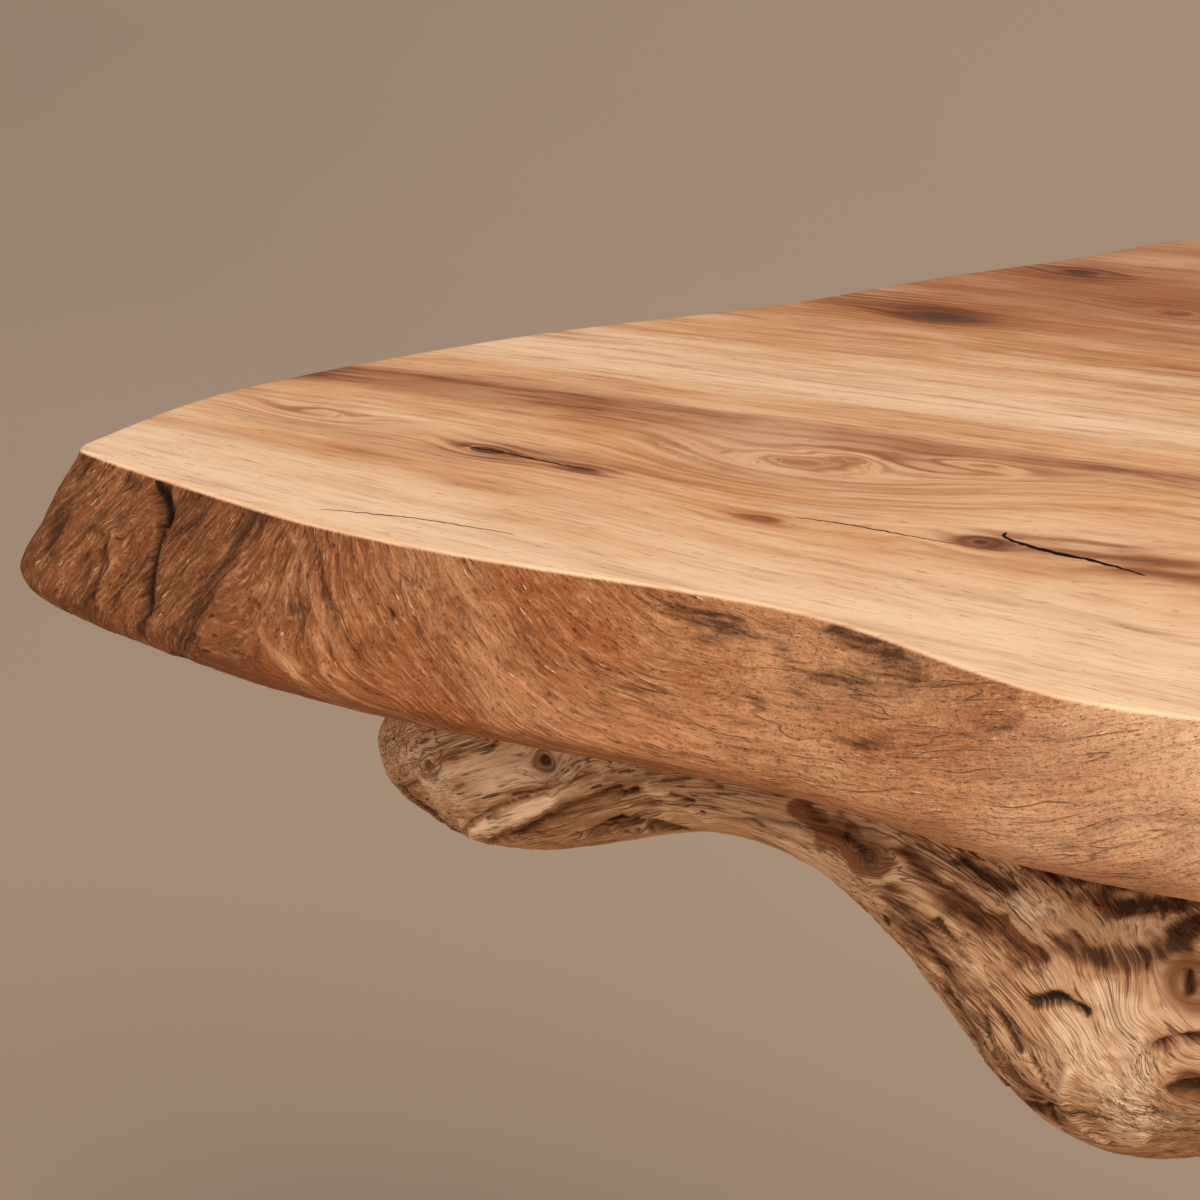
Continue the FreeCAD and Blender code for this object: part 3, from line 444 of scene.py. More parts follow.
class Wire:
    """A node's output in a Python expression: numbers and other wires join it through Math nodes."""

    def __init__(self, bench, socket):
        self.bench = bench
        self.socket = socket

    def math(self, operation, first, second=0.0):
        """One Math node."""
        return self.bench.node("ShaderNodeMath", {"operation": operation}, {0: first, 1: second})

    def __add__(self, other):
        return self.math("ADD", self, other)

    def __radd__(self, other):
        return self.math("ADD", other, self)

    def __sub__(self, other):
        return self.math("SUBTRACT", self, other)

    def __rsub__(self, other):
        return self.math("SUBTRACT", other, self)

    def __mul__(self, other):
        return self.math("MULTIPLY", self, other)

    def __rmul__(self, other):
        return self.math("MULTIPLY", other, self)

    def __truediv__(self, other):
        return self.math("DIVIDE", self, other)

    def __pow__(self, other):
        return self.math("POWER", self, other)

    def __neg__(self):
        return self.math("MULTIPLY", self, -1.0)

    def __abs__(self):
        return self.math("ABSOLUTE", self)

    def exp(self):
        return self.math("EXPONENT", self)

    def sin(self):
        return self.math("SINE", self)

    def top(self, other):
        """The larger of two values."""
        return self.math("MAXIMUM", self, other)

    def ease(self, start, end):
        """0 below start, 1 above end, smooth between; start may be the larger."""
        return self.bench.node("ShaderNodeMapRange", {"interpolation_type": "SMOOTHSTEP"},
                               {"Value": self, "From Min": start, "From Max": end})


class Bench:
    """Puts nodes into one tree."""

    def __init__(self, tree):
        self.tree = tree

    def node(self, kind, settings=None, sockets=None, output=0):
        """Any node: its settings first, then its sockets' values or links. Gives one output."""
        made = self.tree.nodes.new(kind)
        for name, value in (settings or {}).items():
            setattr(made, name, value)
        for key, value in (sockets or {}).items():
            if isinstance(value, Wire):
                self.tree.links.new(value.socket, made.inputs[key])
            else:
                made.inputs[key].default_value = value
        return Wire(self, made.outputs[output]) if made.outputs else None

    def attribute(self, name, output=1):
        """A mesh attribute in a material, as a vector, or as a number with output 2."""
        return self.node("ShaderNodeAttribute", {"attribute_name": name}, output=output)

    def parts(self, vector):
        """The three numbers of a vector."""
        whole = self.node("ShaderNodeSeparateXYZ", sockets={0: vector})
        return [Wire(self, socket) for socket in whole.socket.node.outputs]

    def place(self):
        """The three coordinates of a point in its object."""
        return self.parts(self.node("ShaderNodeTexCoord", output=3))

    def stretched(self, coords, scales, detail=2.0, roughness=0.5, seed=0.0):
        """Noise from about -1 to 1 over three coordinates, each with its own scale per metre."""
        sockets = {axis: coord * scale for axis, (coord, scale) in enumerate(zip(coords, scales))}
        vector = self.node("ShaderNodeCombineXYZ", sockets=sockets)
        raw = self.node("ShaderNodeTexNoise", {"noise_dimensions": "4D"},
                        {"Vector": vector, "W": seed, "Scale": 1.0, "Detail": detail, "Roughness": roughness})
        return raw * 4.0 - 2.0

    def coats(self, base, *coats):
        """A base colour under coats, each a colour and how far it covers what lies below."""
        for over, cover in coats:
            base = self.node("ShaderNodeMix", {"data_type": "RGBA", "clamp_factor": True},
                             {0: cover, 6: self.shade(base), 7: self.shade(over)}, output=2)
        return base

    @staticmethod
    def shade(value):
        """A colour as a socket takes it."""
        return value if isinstance(value, Wire) else (*value, 1.0)

    def bump(self, height, distance, strength=1.0):
        """A normal from a height between about -1 and 1, which stands for a distance."""
        return self.node("ShaderNodeBump",
                         sockets={"Height": height, "Distance": distance, "Strength": strength})


def scaled(shade, factor):
    """A colour made darker or lighter, up to full brightness."""
    return tuple(min(1.0, c * factor) for c in shade)


def new_material(name):
    """An empty material and the bench for its nodes."""
    material = bpy.data.materials.new(name)
    material.use_nodes = True
    material.node_tree.nodes.clear()
    return material, Bench(material.node_tree)


def surface(bench, colour, roughness, normal=None, metallic=0.0, shine=0.3):
    """The shader and output that end a material."""
    sockets = {"Base Color": Bench.shade(colour), "Roughness": roughness, "Metallic": metallic,
               "Specular IOR Level": shine}
    if normal is not None:
        sockets["Normal"] = normal
    shader = bench.node("ShaderNodeBsdfPrincipled", sockets=sockets)
    bench.node("ShaderNodeOutputMaterial", sockets={"Surface": shader})


def driftwood_material(look):
    """Bleached driftwood: fibre lines along the grain, dark hollows, pale ridges, worn knots, painted shade,
    shadow and highlight.
    """
    material, bench = new_material("worn_driftwood")
    grain = bench.parts(bench.attribute("grain"))
    along, side, rise = grain
    stain, knot, polish = bench.parts(bench.attribute("marks"))
    groove = bench.attribute("groove", output=2)

    wander = bench.stretched(grain, (12, 40, 40), detail=2, seed=1.5)
    stray = wander * (1.2 * MM)
    bent = (along, side + stray, rise + stray)
    broad = bench.stretched(bent, (10, 34, 34), detail=3, seed=2.0)
    band = bench.stretched(bent, (14, 170, 170), detail=3, roughness=0.6, seed=3.0)
    fibre = bench.stretched(bent, (26, 520, 520), detail=4, roughness=0.65, seed=4.0)
    hair = bench.stretched(bent, (60, 1300, 1300), detail=2, seed=5.0)
    fleck = bench.stretched(bent, (85, 760, 760), detail=1, seed=6.0)
    thread = bench.stretched(bent, (22, 620, 620), detail=1, seed=7.0)
    patch = bench.stretched(bent, (20, 70, 70), detail=2, seed=8.0)
    check = abs(thread).ease(0.13, 0.02) * patch.ease(-0.5, 0.4)

    rubbed = (polish + polish * (band * 0.3 + fibre * 0.3)).ease(0.25, 0.7)
    # Paler where marks bleach the wood, and where the bulge's mark paints a highlight
    bleach_and_highlight = (-stain).ease(0.05, 0.5)
    ring = (knot * 15.0 + band * 1.6 + fibre * 0.8).sin() * 0.5 + 0.5
    # Darker where marks stain the wood, and where the flank's mark and the mark under the slab paint shade
    # and shadow
    soaked = stain + stain * (band * 0.5 + fibre * 0.6 + hair * 0.3)
    colour = bench.coats(
        look.tan,
        (look.pale, broad.ease(-0.1, 0.9) * 0.7),
        (look.brown, (-broad).ease(0.0, 0.9) * 0.65),
        (look.brown, band.ease(0.1, 0.9) * 0.5),
        # Bleached ridges, with the painted highlight on the bulge
        (look.pale, bleach_and_highlight * (0.85 - fibre * 0.3)),
        (look.polish, rubbed * (0.92 + 0.2 * band)),
        (look.brown, fibre.ease(0.0, 0.8) * (0.75 - bleach_and_highlight * 0.3)),
        (look.pale, (-fibre).ease(0.1, 0.9) * (0.45 - rubbed * 0.38)),
        (look.pale, hair.ease(0.1, 0.8) * (0.4 - rubbed * 0.33)),
        (look.brown, (-hair).ease(0.1, 0.8) * 0.55),
        (look.brown, knot.ease(0.15, 0.6) * (0.35 + 0.6 * ring)),
        (look.brown, check * 0.85),
        (look.dark, fleck.ease(0.6, 0.76) * (0.8 - broad * 0.3 - bleach_and_highlight * 0.3)),
        (look.dark, groove.ease(0.3, 1.0) * 0.45),
        # Stains, with the painted shade on the flank and the painted shadow under the slab
        (look.brown, soaked.ease(0.15, 0.6) * 0.7),
        (look.dark, soaked.ease(0.45, 0.9) * 0.85),
        (look.hollow, stain.ease(0.85, 1.0) * 0.8),
        (look.dark, knot.ease(0.6, 0.9) * 0.75),
    )

    height = fibre * -0.25 + hair * 0.15 - fleck.ease(0.4, 0.7) * 0.5 - check * 0.5 + ring * knot * 0.3
    normal = bench.bump(height, 0.9 * MM, 0.9)
    surface(bench, colour, 0.74 - rubbed * 0.28 + fibre * 0.04, normal, shine=0.2)
    return material


def top_figure(bench, look, x, y):
    """The sanded top: bands that fan from the front edge, knots that the bands close round, and streaks."""
    lean = y.ease(FAN_FRONT, FAN_BACK) * FAN_SLOPE + FRONT_SLOPE
    run = FAN_LENGTH - ((x - LEFT_END) * (-1 / FAN_LENGTH)).exp() * FAN_LENGTH
    slow = bench.stretched((x, y, 0.0), (3.2, 7.0, 1.0), detail=2, seed=11.0)
    quick = bench.stretched((x, y, 0.0), (16.0, 34.0, 1.0), detail=3, seed=12.0)
    flow = y - lean * run + slow * (6 * MM) + quick * (1.6 * MM)

    def span_of(spot):
        """How far a point lies from a spot, squared, in half lengths and half widths."""
        right = x - spot.x * MM
        off_x = right / (spot.half_x * MM)
        off_y = (y - spot.y * MM - right * top_lean(spot.x * MM, spot.y * MM)) / (spot.half_y * MM)
        return (off_x * off_x + off_y * off_y + quick * 0.35).top(0.0)

    dark = 0.0
    eyes = 0.0
    halo = 0.0
    for knot in TOP_KNOTS.values():
        span = span_of(knot)
        near = (-span).exp()
        halo = (span * -0.45).exp().top(halo)
        heart = top_flow(knot.x * MM, knot.y * MM) + span ** 0.5 * (knot.half_y * MM)
        flow = flow + (heart - flow) * near
        dark = dark + near * knot.darkness
        eyes = eyes + (span * -7.0).exp() * knot.darkness
    for spot in TOP_STAINS.values():
        dark = dark + (-span_of(spot)).exp() * spot.darkness

    lines = (x, flow, 0.0)
    broad = bench.stretched(lines, (2.6, 27.0, 1.0), detail=2, seed=13.0)
    cloud = bench.stretched(lines, (11.0, 42.0, 1.0), detail=3, roughness=0.6, seed=17.0)
    band = bench.stretched(lines, (7.0, 95.0, 1.0), detail=3, roughness=0.6, seed=14.0)
    line = bench.stretched(lines, (20.0, 330.0, 1.0), detail=4, roughness=0.65, seed=15.0)
    hair = bench.stretched(lines, (45.0, 760.0, 1.0), detail=3, roughness=0.6, seed=18.0)
    pore = bench.stretched(lines, (170.0, 1000.0, 1.0), detail=1, seed=16.0)
    ring = ((flow + band * (0.8 * MM) + quick * MM) * (2 * math.pi / RING_WIDTH)).sin()

    heart_zone = flow.ease(*HEART_ZONE)
    back_zone = flow.ease(*BACK_ZONE)
    pale_zone = abs(flow - PALE_LINE).ease(*PALE_REACH)
    width = STREAK_WIDTH + x.ease(*FLARE_SPAN) * STREAK_FLARE
    streak = (abs(flow - STREAK_LINE) / width).ease(1.3, 0.2) * x.ease(*STREAK_END)
    heart_of_streak = (band + cloud * 0.7 + line * 0.7 + hair * 0.4).ease(-0.1, 1.0)
    soaked = dark + dark * (band * 0.5 + line * 0.5 + ring * 0.25)
    colour = bench.coats(
        look.sapwood,
        (look.heartwood, heart_zone * 0.6 + broad * 0.6 + cloud * 0.5 + 0.12),
        (look.figure, back_zone * (0.6 + broad * 0.3 + cloud * 0.3)),
        (look.sapwood, pale_zone * (0.75 - band * 0.3)),
        (look.figure, band.ease(-0.1, 0.9) * (0.28 + heart_zone * 0.32 - pale_zone * 0.3)),
        (look.sapwood, (-band).ease(0.05, 0.9) * (0.65 - back_zone * 0.5)),
        (look.figure, line.ease(-0.1, 0.9) * (0.30 + heart_zone * 0.25)),
        (look.sapwood, (-line).ease(0.1, 0.9) * (0.45 - back_zone * 0.3)),
        (look.figure, hair.ease(0.0, 0.9) * 0.36),
        (look.sapwood, (-hair).ease(0.0, 0.9) * (0.4 - back_zone * 0.3)),
        (look.figure, halo * ring.ease(0.0, 1.0) * (0.55 + cloud * 0.3)),
        (look.figure, streak * (0.7 + band * 0.3 + cloud * 0.3)),
        (look.streak, streak * heart_of_streak * 0.8),
        (look.figure, soaked.ease(0.05, 0.75) * 0.8),
        (look.streak, soaked.ease(0.30, 1.2) * 0.75),
        (look.streak, (eyes + eyes * line * 0.5).ease(0.25, 0.9) * 0.65),
        (look.streak, pore.ease(0.55, 0.85) * 0.28),
    )
    height = line * -0.12 - hair * 0.08 - pore.ease(0.2, 1.0) * 0.3 - eyes * 1.0
    return colour, height, 0.46 + line * 0.03 - back_zone * 0.04


def top_lean(x, y):
    """Slope of the grain at a place in the top."""
    along = top_flow(x + MM, y) - top_flow(x - MM, y)
    across = top_flow(x, y + MM) - top_flow(x, y - MM)
    return -along / across


def top_flow(x, y):
    """The grain line of a place in the top, by the rule of the top's material."""
    lean = FAN_SLOPE * float(ease(y, FAN_FRONT, FAN_BACK)) + FRONT_SLOPE
    return y - lean * FAN_LENGTH * (1 - math.exp((LEFT_END - x) / FAN_LENGTH))


def edge_figure(bench, look, groove):
    """The live edge: torn fibres, pits, stains and rubbed pale places, and a tone partly painted as light and
    shade.
    """
    along, across, _ = bench.parts(bench.attribute("grain"))
    # The second number is the tone along the edge: partly the wood's own colour, partly painted light and
    # shade
    stain, pale, _ = bench.parts(bench.attribute("marks"))
    grain = (along, across, 0.0)
    wander = bench.stretched(grain, (30, 60, 1), detail=2, seed=21.0)
    bent = (along, across + wander * (2.2 * MM), 0.0)
    broad = bench.stretched(bent, (9, 26, 1), detail=3, seed=22.0)
    mottle = bench.stretched(bent, (45, 70, 1), detail=3, seed=28.0)
    band = bench.stretched(bent, (16, 100, 1), detail=4, roughness=0.6, seed=23.0)
    fibre = bench.stretched(bent, (60, 430, 1), detail=4, roughness=0.65, seed=24.0)
    hair = bench.stretched(bent, (150, 1100, 1), detail=3, roughness=0.6, seed=25.0)
    crumb = bench.stretched(bent, (380, 620, 1), detail=3, roughness=0.65, seed=29.0)
    pit = bench.stretched(bent, (480, 1500, 1), detail=1, seed=26.0)
    torn = bench.stretched(bent, (170, 1100, 1), detail=1, seed=27.0)
    seam = bench.stretched(bent, (20, 120, 1), detail=2, seed=30.0)
    crease = abs(seam).ease(0.05, 0.0) * mottle.ease(-0.3, 0.4)

    # Darker and paler tone along the edge: partly the wood's own colour, partly painted shade and painted
    # light
    dark_tone_and_shade = (-pale).ease(0.0, 0.5)
    pale_tone_and_light = pale.ease(0.3, 0.9)
    soaked = stain + stain * (band * 0.7 + fibre * 0.9 + hair * 0.4)
    colour = bench.coats(
        look.edge,
        # The tone along the edge, partly painted shade near the front left corner and painted light further
        # along
        (look.edge_pale, 0.22 + pale * 0.65 + broad * 0.3 + mottle * 0.3),
        (look.sapwood, pale_tone_and_light * (0.5 + broad * 0.2)),
        (look.figure, (-broad).ease(0.0, 0.9) * 0.6),
        (look.edge_dark, dark_tone_and_shade * (0.3 - band * 0.35 - broad * 0.2)),
        (look.edge_dark, band.ease(0.1, 1.1) * (0.36 + dark_tone_and_shade * 0.34)),
        (look.edge_dark, fibre.ease(-0.05, 0.9) * (0.5 + dark_tone_and_shade * 0.25 - pale_tone_and_light * 0.22)),
        (look.edge_pale, (-fibre).ease(0.05, 0.9) * (0.55 - dark_tone_and_shade * 0.25)),
        (look.edge_pale, hair.ease(0.05, 0.8) * 0.5),
        (look.edge_dark, (-hair).ease(0.05, 0.9) * (0.5 - pale_tone_and_light * 0.2)),
        (look.edge_dark, crumb.ease(0.1, 0.9) * 0.32),
        (look.edge_pale, (-crumb).ease(0.1, 0.9) * 0.35),
        (look.edge_dark, crease * 0.45),
        (look.sapwood, torn.ease(0.72, 0.95) * 0.5),
        (look.edge_dark, pit.ease(0.70, 0.95) * (0.65 - pale * 0.45)),
        (look.edge_dark, groove.ease(0.3, 1.0) * 0.35),
        (look.edge_dark, soaked.ease(0.15, 1.0) * 0.85),
        (look.hollow, stain.ease(0.8, 1.0) * 0.9),
        (look.edge_pale, (-stain).ease(0.0, 0.4) * 0.6),
    )
    height = fibre * -0.3 + hair * 0.3 - crumb * 0.3 + torn.ease(0.4, 0.9) * 0.3
    height = height - pit.ease(0.4, 0.9) * 0.5 - mottle * 0.35 - crease * 0.5
    return colour, height, 0.66 + fibre * 0.05


def slab_material(look):
    """One wood with two faces: the sanded top and underside, and the live edge."""
    material, bench = new_material("slab_wood")
    x, y, _ = bench.place()
    edge = bench.attribute("edge", output=2)
    crack = bench.attribute("crack", output=2)
    groove = bench.attribute("groove", output=2)
    top_colour, top_height, top_rough = top_figure(bench, look, x, y)
    edge_colour, edge_height, edge_rough = edge_figure(bench, look, groove)
    colour = bench.coats(top_colour, (edge_colour, edge), (look.hollow, crack))
    height = top_height * 0.35 * (1 - edge) + edge_height * edge
    rough = top_rough * (1 - edge) + edge_rough * edge
    surface(bench, colour, rough, bench.bump(height, 1.1 * MM, 0.9), shine=0.16)
    return material


def peg_material(look):
    """Riven hardwood pegs, with darker rings and pores."""
    material, bench = new_material("peg_wood")
    place = bench.place()
    ring = bench.stretched(place, (420, 420, 420), detail=3, seed=31.0)
    pore = bench.stretched(place, (1500, 1500, 1500), detail=2, seed=32.0)
    colour = bench.coats(look.peg, (scaled(look.peg, 0.45), ring.ease(-0.2, 0.7) * 0.8),
                         (scaled(look.peg, 0.2), pore.ease(0.3, 0.9) * 0.7))
    surface(bench, colour, 0.6 + ring * 0.06, bench.bump(pore + ring, 0.1 * MM, 0.6))
    return material


def steel_material(look):
    """Zinc plate, dulled in patches."""
    material, bench = new_material("zinc_steel")
    place = bench.place()
    cloud = bench.stretched(place, (260, 260, 260), detail=4, seed=41.0)
    brush = bench.stretched(place, (900, 900, 2600), detail=2, seed=42.0)
    colour = bench.coats(look.steel, (scaled(look.steel, 0.5), cloud.ease(-0.2, 0.8) * 0.7))
    normal = bench.bump(brush, 0.05 * MM, 0.5)
    surface(bench, colour, 0.44 + cloud * 0.08, normal, metallic=1.0, shine=0.5)
    return material


def nylon_material(look):
    """Moulded nylon, scuffed by the floor."""
    material, bench = new_material("glide_nylon")
    place = bench.place()
    scuff = bench.stretched(place, (180, 700, 180), detail=3, seed=51.0)
    skin = bench.stretched(place, (1800, 1800, 1800), detail=1, seed=52.0)
    colour = bench.coats(look.nylon, (scaled(look.nylon, 2.4), scuff.ease(0.2, 1.0) * 0.5))
    surface(bench, colour, 0.6 + scuff * 0.05, bench.bump(skin, 0.08 * MM, 0.6))
    return material


def floor_material(look):
    """A plain pale floor with the faintest cloud in it, and painted light that makes it lighter towards the
    back and right.
    """
    material, bench = new_material("plain_floor")
    place = bench.place()
    x, y, _ = place
    cloud = bench.stretched(place, (0.8, 0.8, 0.8), detail=3, seed=61.0)
    colour = bench.coats(look.floor, (scaled(look.floor, 0.9), cloud.ease(-0.6, 0.8) * 0.6),
                         # Painted light: lighter towards the back and right
                         (scaled(look.floor, 1.45), (y + x * 0.4).ease(0.0, 4.5)))
    surface(bench, colour, 0.95)
    return material


def weather_tree():
    """Geometry nodes that wear wood along its grain: slow lumps, narrow grooves and carved marks."""
    tree = bpy.data.node_groups.new("weather_along_grain", "GeometryNodeTree")
    tree.interface.new_socket("Geometry", in_out="INPUT", socket_type="NodeSocketGeometry")
    for name, value in WEATHER_INPUTS:
        tree.interface.new_socket(name, in_out="INPUT", socket_type="NodeSocketFloat").default_value = value
    tree.interface.new_socket("Material", in_out="INPUT", socket_type="NodeSocketMaterial")
    tree.interface.new_socket("Geometry", in_out="OUTPUT", socket_type="NodeSocketGeometry")
    bench = Bench(tree)
    inputs = bench.node("NodeGroupInput").socket.node.outputs
    given = {socket.name: Wire(bench, socket) for socket in inputs if socket.name}

    def named(name):
        """The three numbers of a vector attribute."""
        return bench.parts(bench.node("GeometryNodeInputNamedAttribute", {"data_type": "FLOAT_VECTOR"},
                                      {"Name": name}))

    grain = named("grain")
    along, side, rise = grain
    carve, grip, _ = named("tooling")
    seed = given["Seed"]
    lump = bench.stretched(grain, (8, 34, 34), detail=2, seed=seed)
    wander = bench.stretched(grain, (9, 40, 40), detail=1, seed=seed + 3)
    stray = wander * (2.5 * MM)
    bent = (along, side + stray, rise + stray)
    vein = bench.stretched(bent, (11, 120, 120), detail=1, seed=seed + 5)
    patch = bench.stretched(grain, (14, 60, 60), seed=seed + 7)
    groove = abs(vein).ease(0.24, 0.0) * patch.ease(-0.2, 0.4)
    ripple = bench.stretched(bent, (24, 300, 300), detail=2, seed=seed + 9)
    lift = carve + grip * (lump * 0.5 * given["Lump Height"]
                           + (ripple * 0.25 - groove) * given["Groove Depth"])
    normal = bench.node("GeometryNodeInputNormal")
    offset = bench.node("ShaderNodeVectorMath", {"operation": "SCALE"}, {0: normal, "Scale": lift})
    moved = bench.node("GeometryNodeSetPosition", sockets={"Geometry": given["Geometry"], "Offset": offset})
    stored = bench.node("GeometryNodeStoreNamedAttribute", {"data_type": "FLOAT", "domain": "POINT"},
                        {"Geometry": moved, "Name": "groove", "Value": groove * grip})
    whole = bench.node("GeometryNodeRealizeInstances", sockets={"Geometry": stored})
    dressed = bench.node("GeometryNodeSetMaterial",
                         sockets={"Geometry": whole, "Material": given["Material"]})
    bench.node("NodeGroupOutput", sockets={"Geometry": dressed})
    return tree


def link(name, data):
    """A new object in the scene."""
    piece = bpy.data.objects.new(name, data)
    bpy.context.scene.collection.objects.link(piece)
    return piece


def settle(piece):
    """The piece with its modifiers worked into a plain mesh."""
    graph = bpy.context.evaluated_depsgraph_get()
    mesh = bpy.data.meshes.new_from_object(piece.evaluated_get(graph))
    old = piece.data
    piece.modifiers.clear()
    piece.data = mesh
    bpy.data.meshes.remove(old)
    mesh.shade_smooth()


def weather(piece, groove, lump, seed, material):
    """Run the weathering nodes on a piece and keep the result as its mesh."""
    tree = bpy.data.node_groups.get("weather_along_grain") or weather_tree()
    modifier = piece.modifiers.new("weather", "NODES")
    modifier.node_group = tree
    values = {"Groove Depth": groove, "Lump Height": lump, "Seed": seed, "Material": material}
    for item in tree.interface.items_tree:
        if item.in_out == "INPUT" and item.name in values:
            modifier[item.identifier] = values[item.name]
    settle(piece)


def finish_piece(piece, slot, *nodes):
    """Attach a piece to the body it rides on, and hide the solids it stands for; its slot is not used."""
    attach(piece, BODY)
    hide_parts(*nodes)


def merged(node):
    """A closed copy of a node's triangles."""
    work = bmesh.new()
    work.from_mesh(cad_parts[node].data)
    bmesh.ops.remove_doubles(work, verts=work.verts, dist=WELD)
    return work


def coordinates(mesh):
    """A mesh's points as rows."""
    flat = np.zeros(len(mesh.vertices) * 3)
    mesh.vertices.foreach_get("co", flat)
    return flat.reshape(-1, 3)


def store(mesh, name, *columns):
    """Write one number for each vertex, or a vector from two or three columns."""
    if len(columns) == 1:
        attribute = mesh.attributes.new(name, "FLOAT", "POINT")
        attribute.data.foreach_set("value", columns[0].astype(np.float32))
        return
    vectors = np.zeros((len(columns[0]), 3), np.float32)
    vectors[:, :len(columns)] = np.column_stack(columns)
    attribute = mesh.attributes.new(name, "FLOAT_VECTOR", "POINT")
    attribute.data.foreach_set("vector", vectors.ravel())


def ease(values, start, end):
    """0 below start, 1 above end, smooth between; start may be the larger."""
    share = np.clip((values - start) / (end - start), 0, 1)
    return share * share * (3 - 2 * share)


def lengths_along(path):
    """Distance along a path at each of its points."""
    steps = np.linalg.norm(np.diff(path, axis=0), axis=-1)
    return np.concatenate([np.zeros_like(path[:1, ..., 0]), np.cumsum(steps, axis=0)])


def path_distance(points, path):
    """How far each point lies from a path of straight runs."""
    best = np.full(len(points), np.inf)
    if len(path) == 1:
        return np.linalg.norm(points - path[0], axis=1)
    for start, end in zip(path, path[1:]):
        run = end - start
        share = np.clip((points - start) @ run / (run @ run), 0, 1)
        best = np.minimum(best, np.linalg.norm(points - start - share[:, None] * run, axis=1))
    return best


def wobble(points, length, seed):
    """Slow waves over a surface, about -1 to 1, of roughly one length."""
    dice = np.random.default_rng(seed)
    waves = np.zeros(len(points))
    for _ in range(6):
        heading = dice.normal(size=3)
        heading *= 2 * math.pi / length / np.linalg.norm(heading) * dice.uniform(0.6, 1.6)
        waves += np.sin(points @ heading + dice.uniform(0, 2 * math.pi))
    return waves / 3


def seen_at(tree, pixel):
    """The place on a piece, in millimetres, that the photo shows at a pixel."""
    stage = bpy.context.scene.table_stage
    column, row = pixel
    middle = PHOTO_WIDTH / 2
    ray = Vector((column - middle, middle - row, -stage.lens / SENSOR_WIDTH * PHOTO_WIDTH))
    ray.rotate(Euler((math.pi / 2 - stage.pitch, 0, stage.turn)))
    place = tree.ray_cast(Vector(stage.camera), ray.normalized())[0]
    if place is None:
        raise ValueError(f"the photo shows no wood of this piece at pixel {pixel}")
    return tuple(place / MM)


def traced(marks, tree):
    """The photo's marks laid on a piece: each with places in millimetres instead of its pixels."""
    return [mark._replace(path=[seen_at(tree, pixel) for pixel in mark.path]) for mark in marks.values()]


def apply_marks(points, marks):
    """Carving, stain and polish that the marks leave on a surface; the stain also holds the painted shade and
    highlight of the marks so noted.
    """
    ragged = 1 + sum(share * wobble(points, length, SEED + number)
                     for number, (share, length) in enumerate(RAGGED))
    carve, dark, pale, polish = np.zeros((4, len(points)))
    for mark in marks:
        away = path_distance(points, np.array(mark.path) * MM) / (mark.half_width * MM) * ragged
        inside = ease(away, 1.0, 0.15)
        carve -= mark.depth * MM * inside
        spread = np.exp(-0.9 * away ** 2)
        dark = np.maximum(dark, mark.stain * spread)
        pale = np.maximum(pale, -mark.stain * spread)
        polish = np.maximum(polish, mark.polish * inside)
    return carve, dark - pale * (1 - dark), polish


def grain_frame(points):
    """Distance along a limb's bent heart, and the unit direction round it, for each point."""
    middle = points.mean(0)
    axis = np.linalg.svd((points - middle)[::7], full_matrices=False)[2][0]
    side = np.cross(axis, (0.0, 0.0, 1.0) if abs(axis[2]) < 0.8 else (1.0, 0.0, 0.0))
    side /= np.linalg.norm(side)
    rise = np.cross(axis, side)
    local = (points - middle) @ np.stack([axis, side, rise], 1)
    low, high = local[:, 0].min(), local[:, 0].max()
    stations = np.linspace(low, high, max(8, int((high - low) / STATION_STEP)))
    width = stations[1] - stations[0]
    hearts, halves = [], []
    for station in stations:
        ring = local[np.abs(local[:, 0] - station) < width, 1:]
        hearts.append((ring.max(0) + ring.min(0)) / 2)
        halves.append((ring.max(0) - ring.min(0)) / 2)
    hearts, halves = np.array(hearts), np.array(halves)
    kernel = np.array([1, 2, 3, 2, 1]) / 9
    for table in (hearts, halves):
        for column in range(2):
            padded = np.pad(table[:, column], 2, mode="edge")
            table[:, column] = np.convolve(padded, kernel, mode="valid")
    along = np.interp(local[:, 0], stations, lengths_along(np.column_stack([stations, hearts])))
    round_it = np.zeros((len(points), 2))
    for column in range(2):
        heart = np.interp(local[:, 0], stations, hearts[:, column])
        half = np.interp(local[:, 0], stations, halves[:, column])
        round_it[:, column] = (local[:, column + 1] - heart) / np.maximum(half, LEAST_HALF)
    round_it /= np.maximum(np.linalg.norm(round_it, axis=1), 1e-6)[:, None]
    return along, round_it, halves.mean()


def trunk_grain(points, grain):
    """The trunk's fibre coordinates, with the plain grain kept from its middle on."""
    x, y, z = points.T
    off_x = x - TURN_X
    off_z = z - TURN_Z
    turning = off_x > 0
    climb = TIP_RISE * TIP_BEND * np.log1p(np.exp((TIP_END - x) / TIP_BEND))
    along = np.where(turning, TURN_RADIUS * np.arctan2(off_x, off_z), off_x)
    across = np.where(turning, np.hypot(off_x, off_z), off_z + climb)
    bent = np.column_stack([along, across, y])
    level = np.column_stack([x + FOOT_ALONG, z + FOOT_ACROSS, y])
    low = (ease(z, *FOOT_HEIGHTS) * ease(x, *FOOT_SPAN))[:, None]
    bent = bent * (1 - low) + level * low
    share = ease(x, *PLAIN_SPAN)[:, None]
    return bent * (1 - share) + grain * share


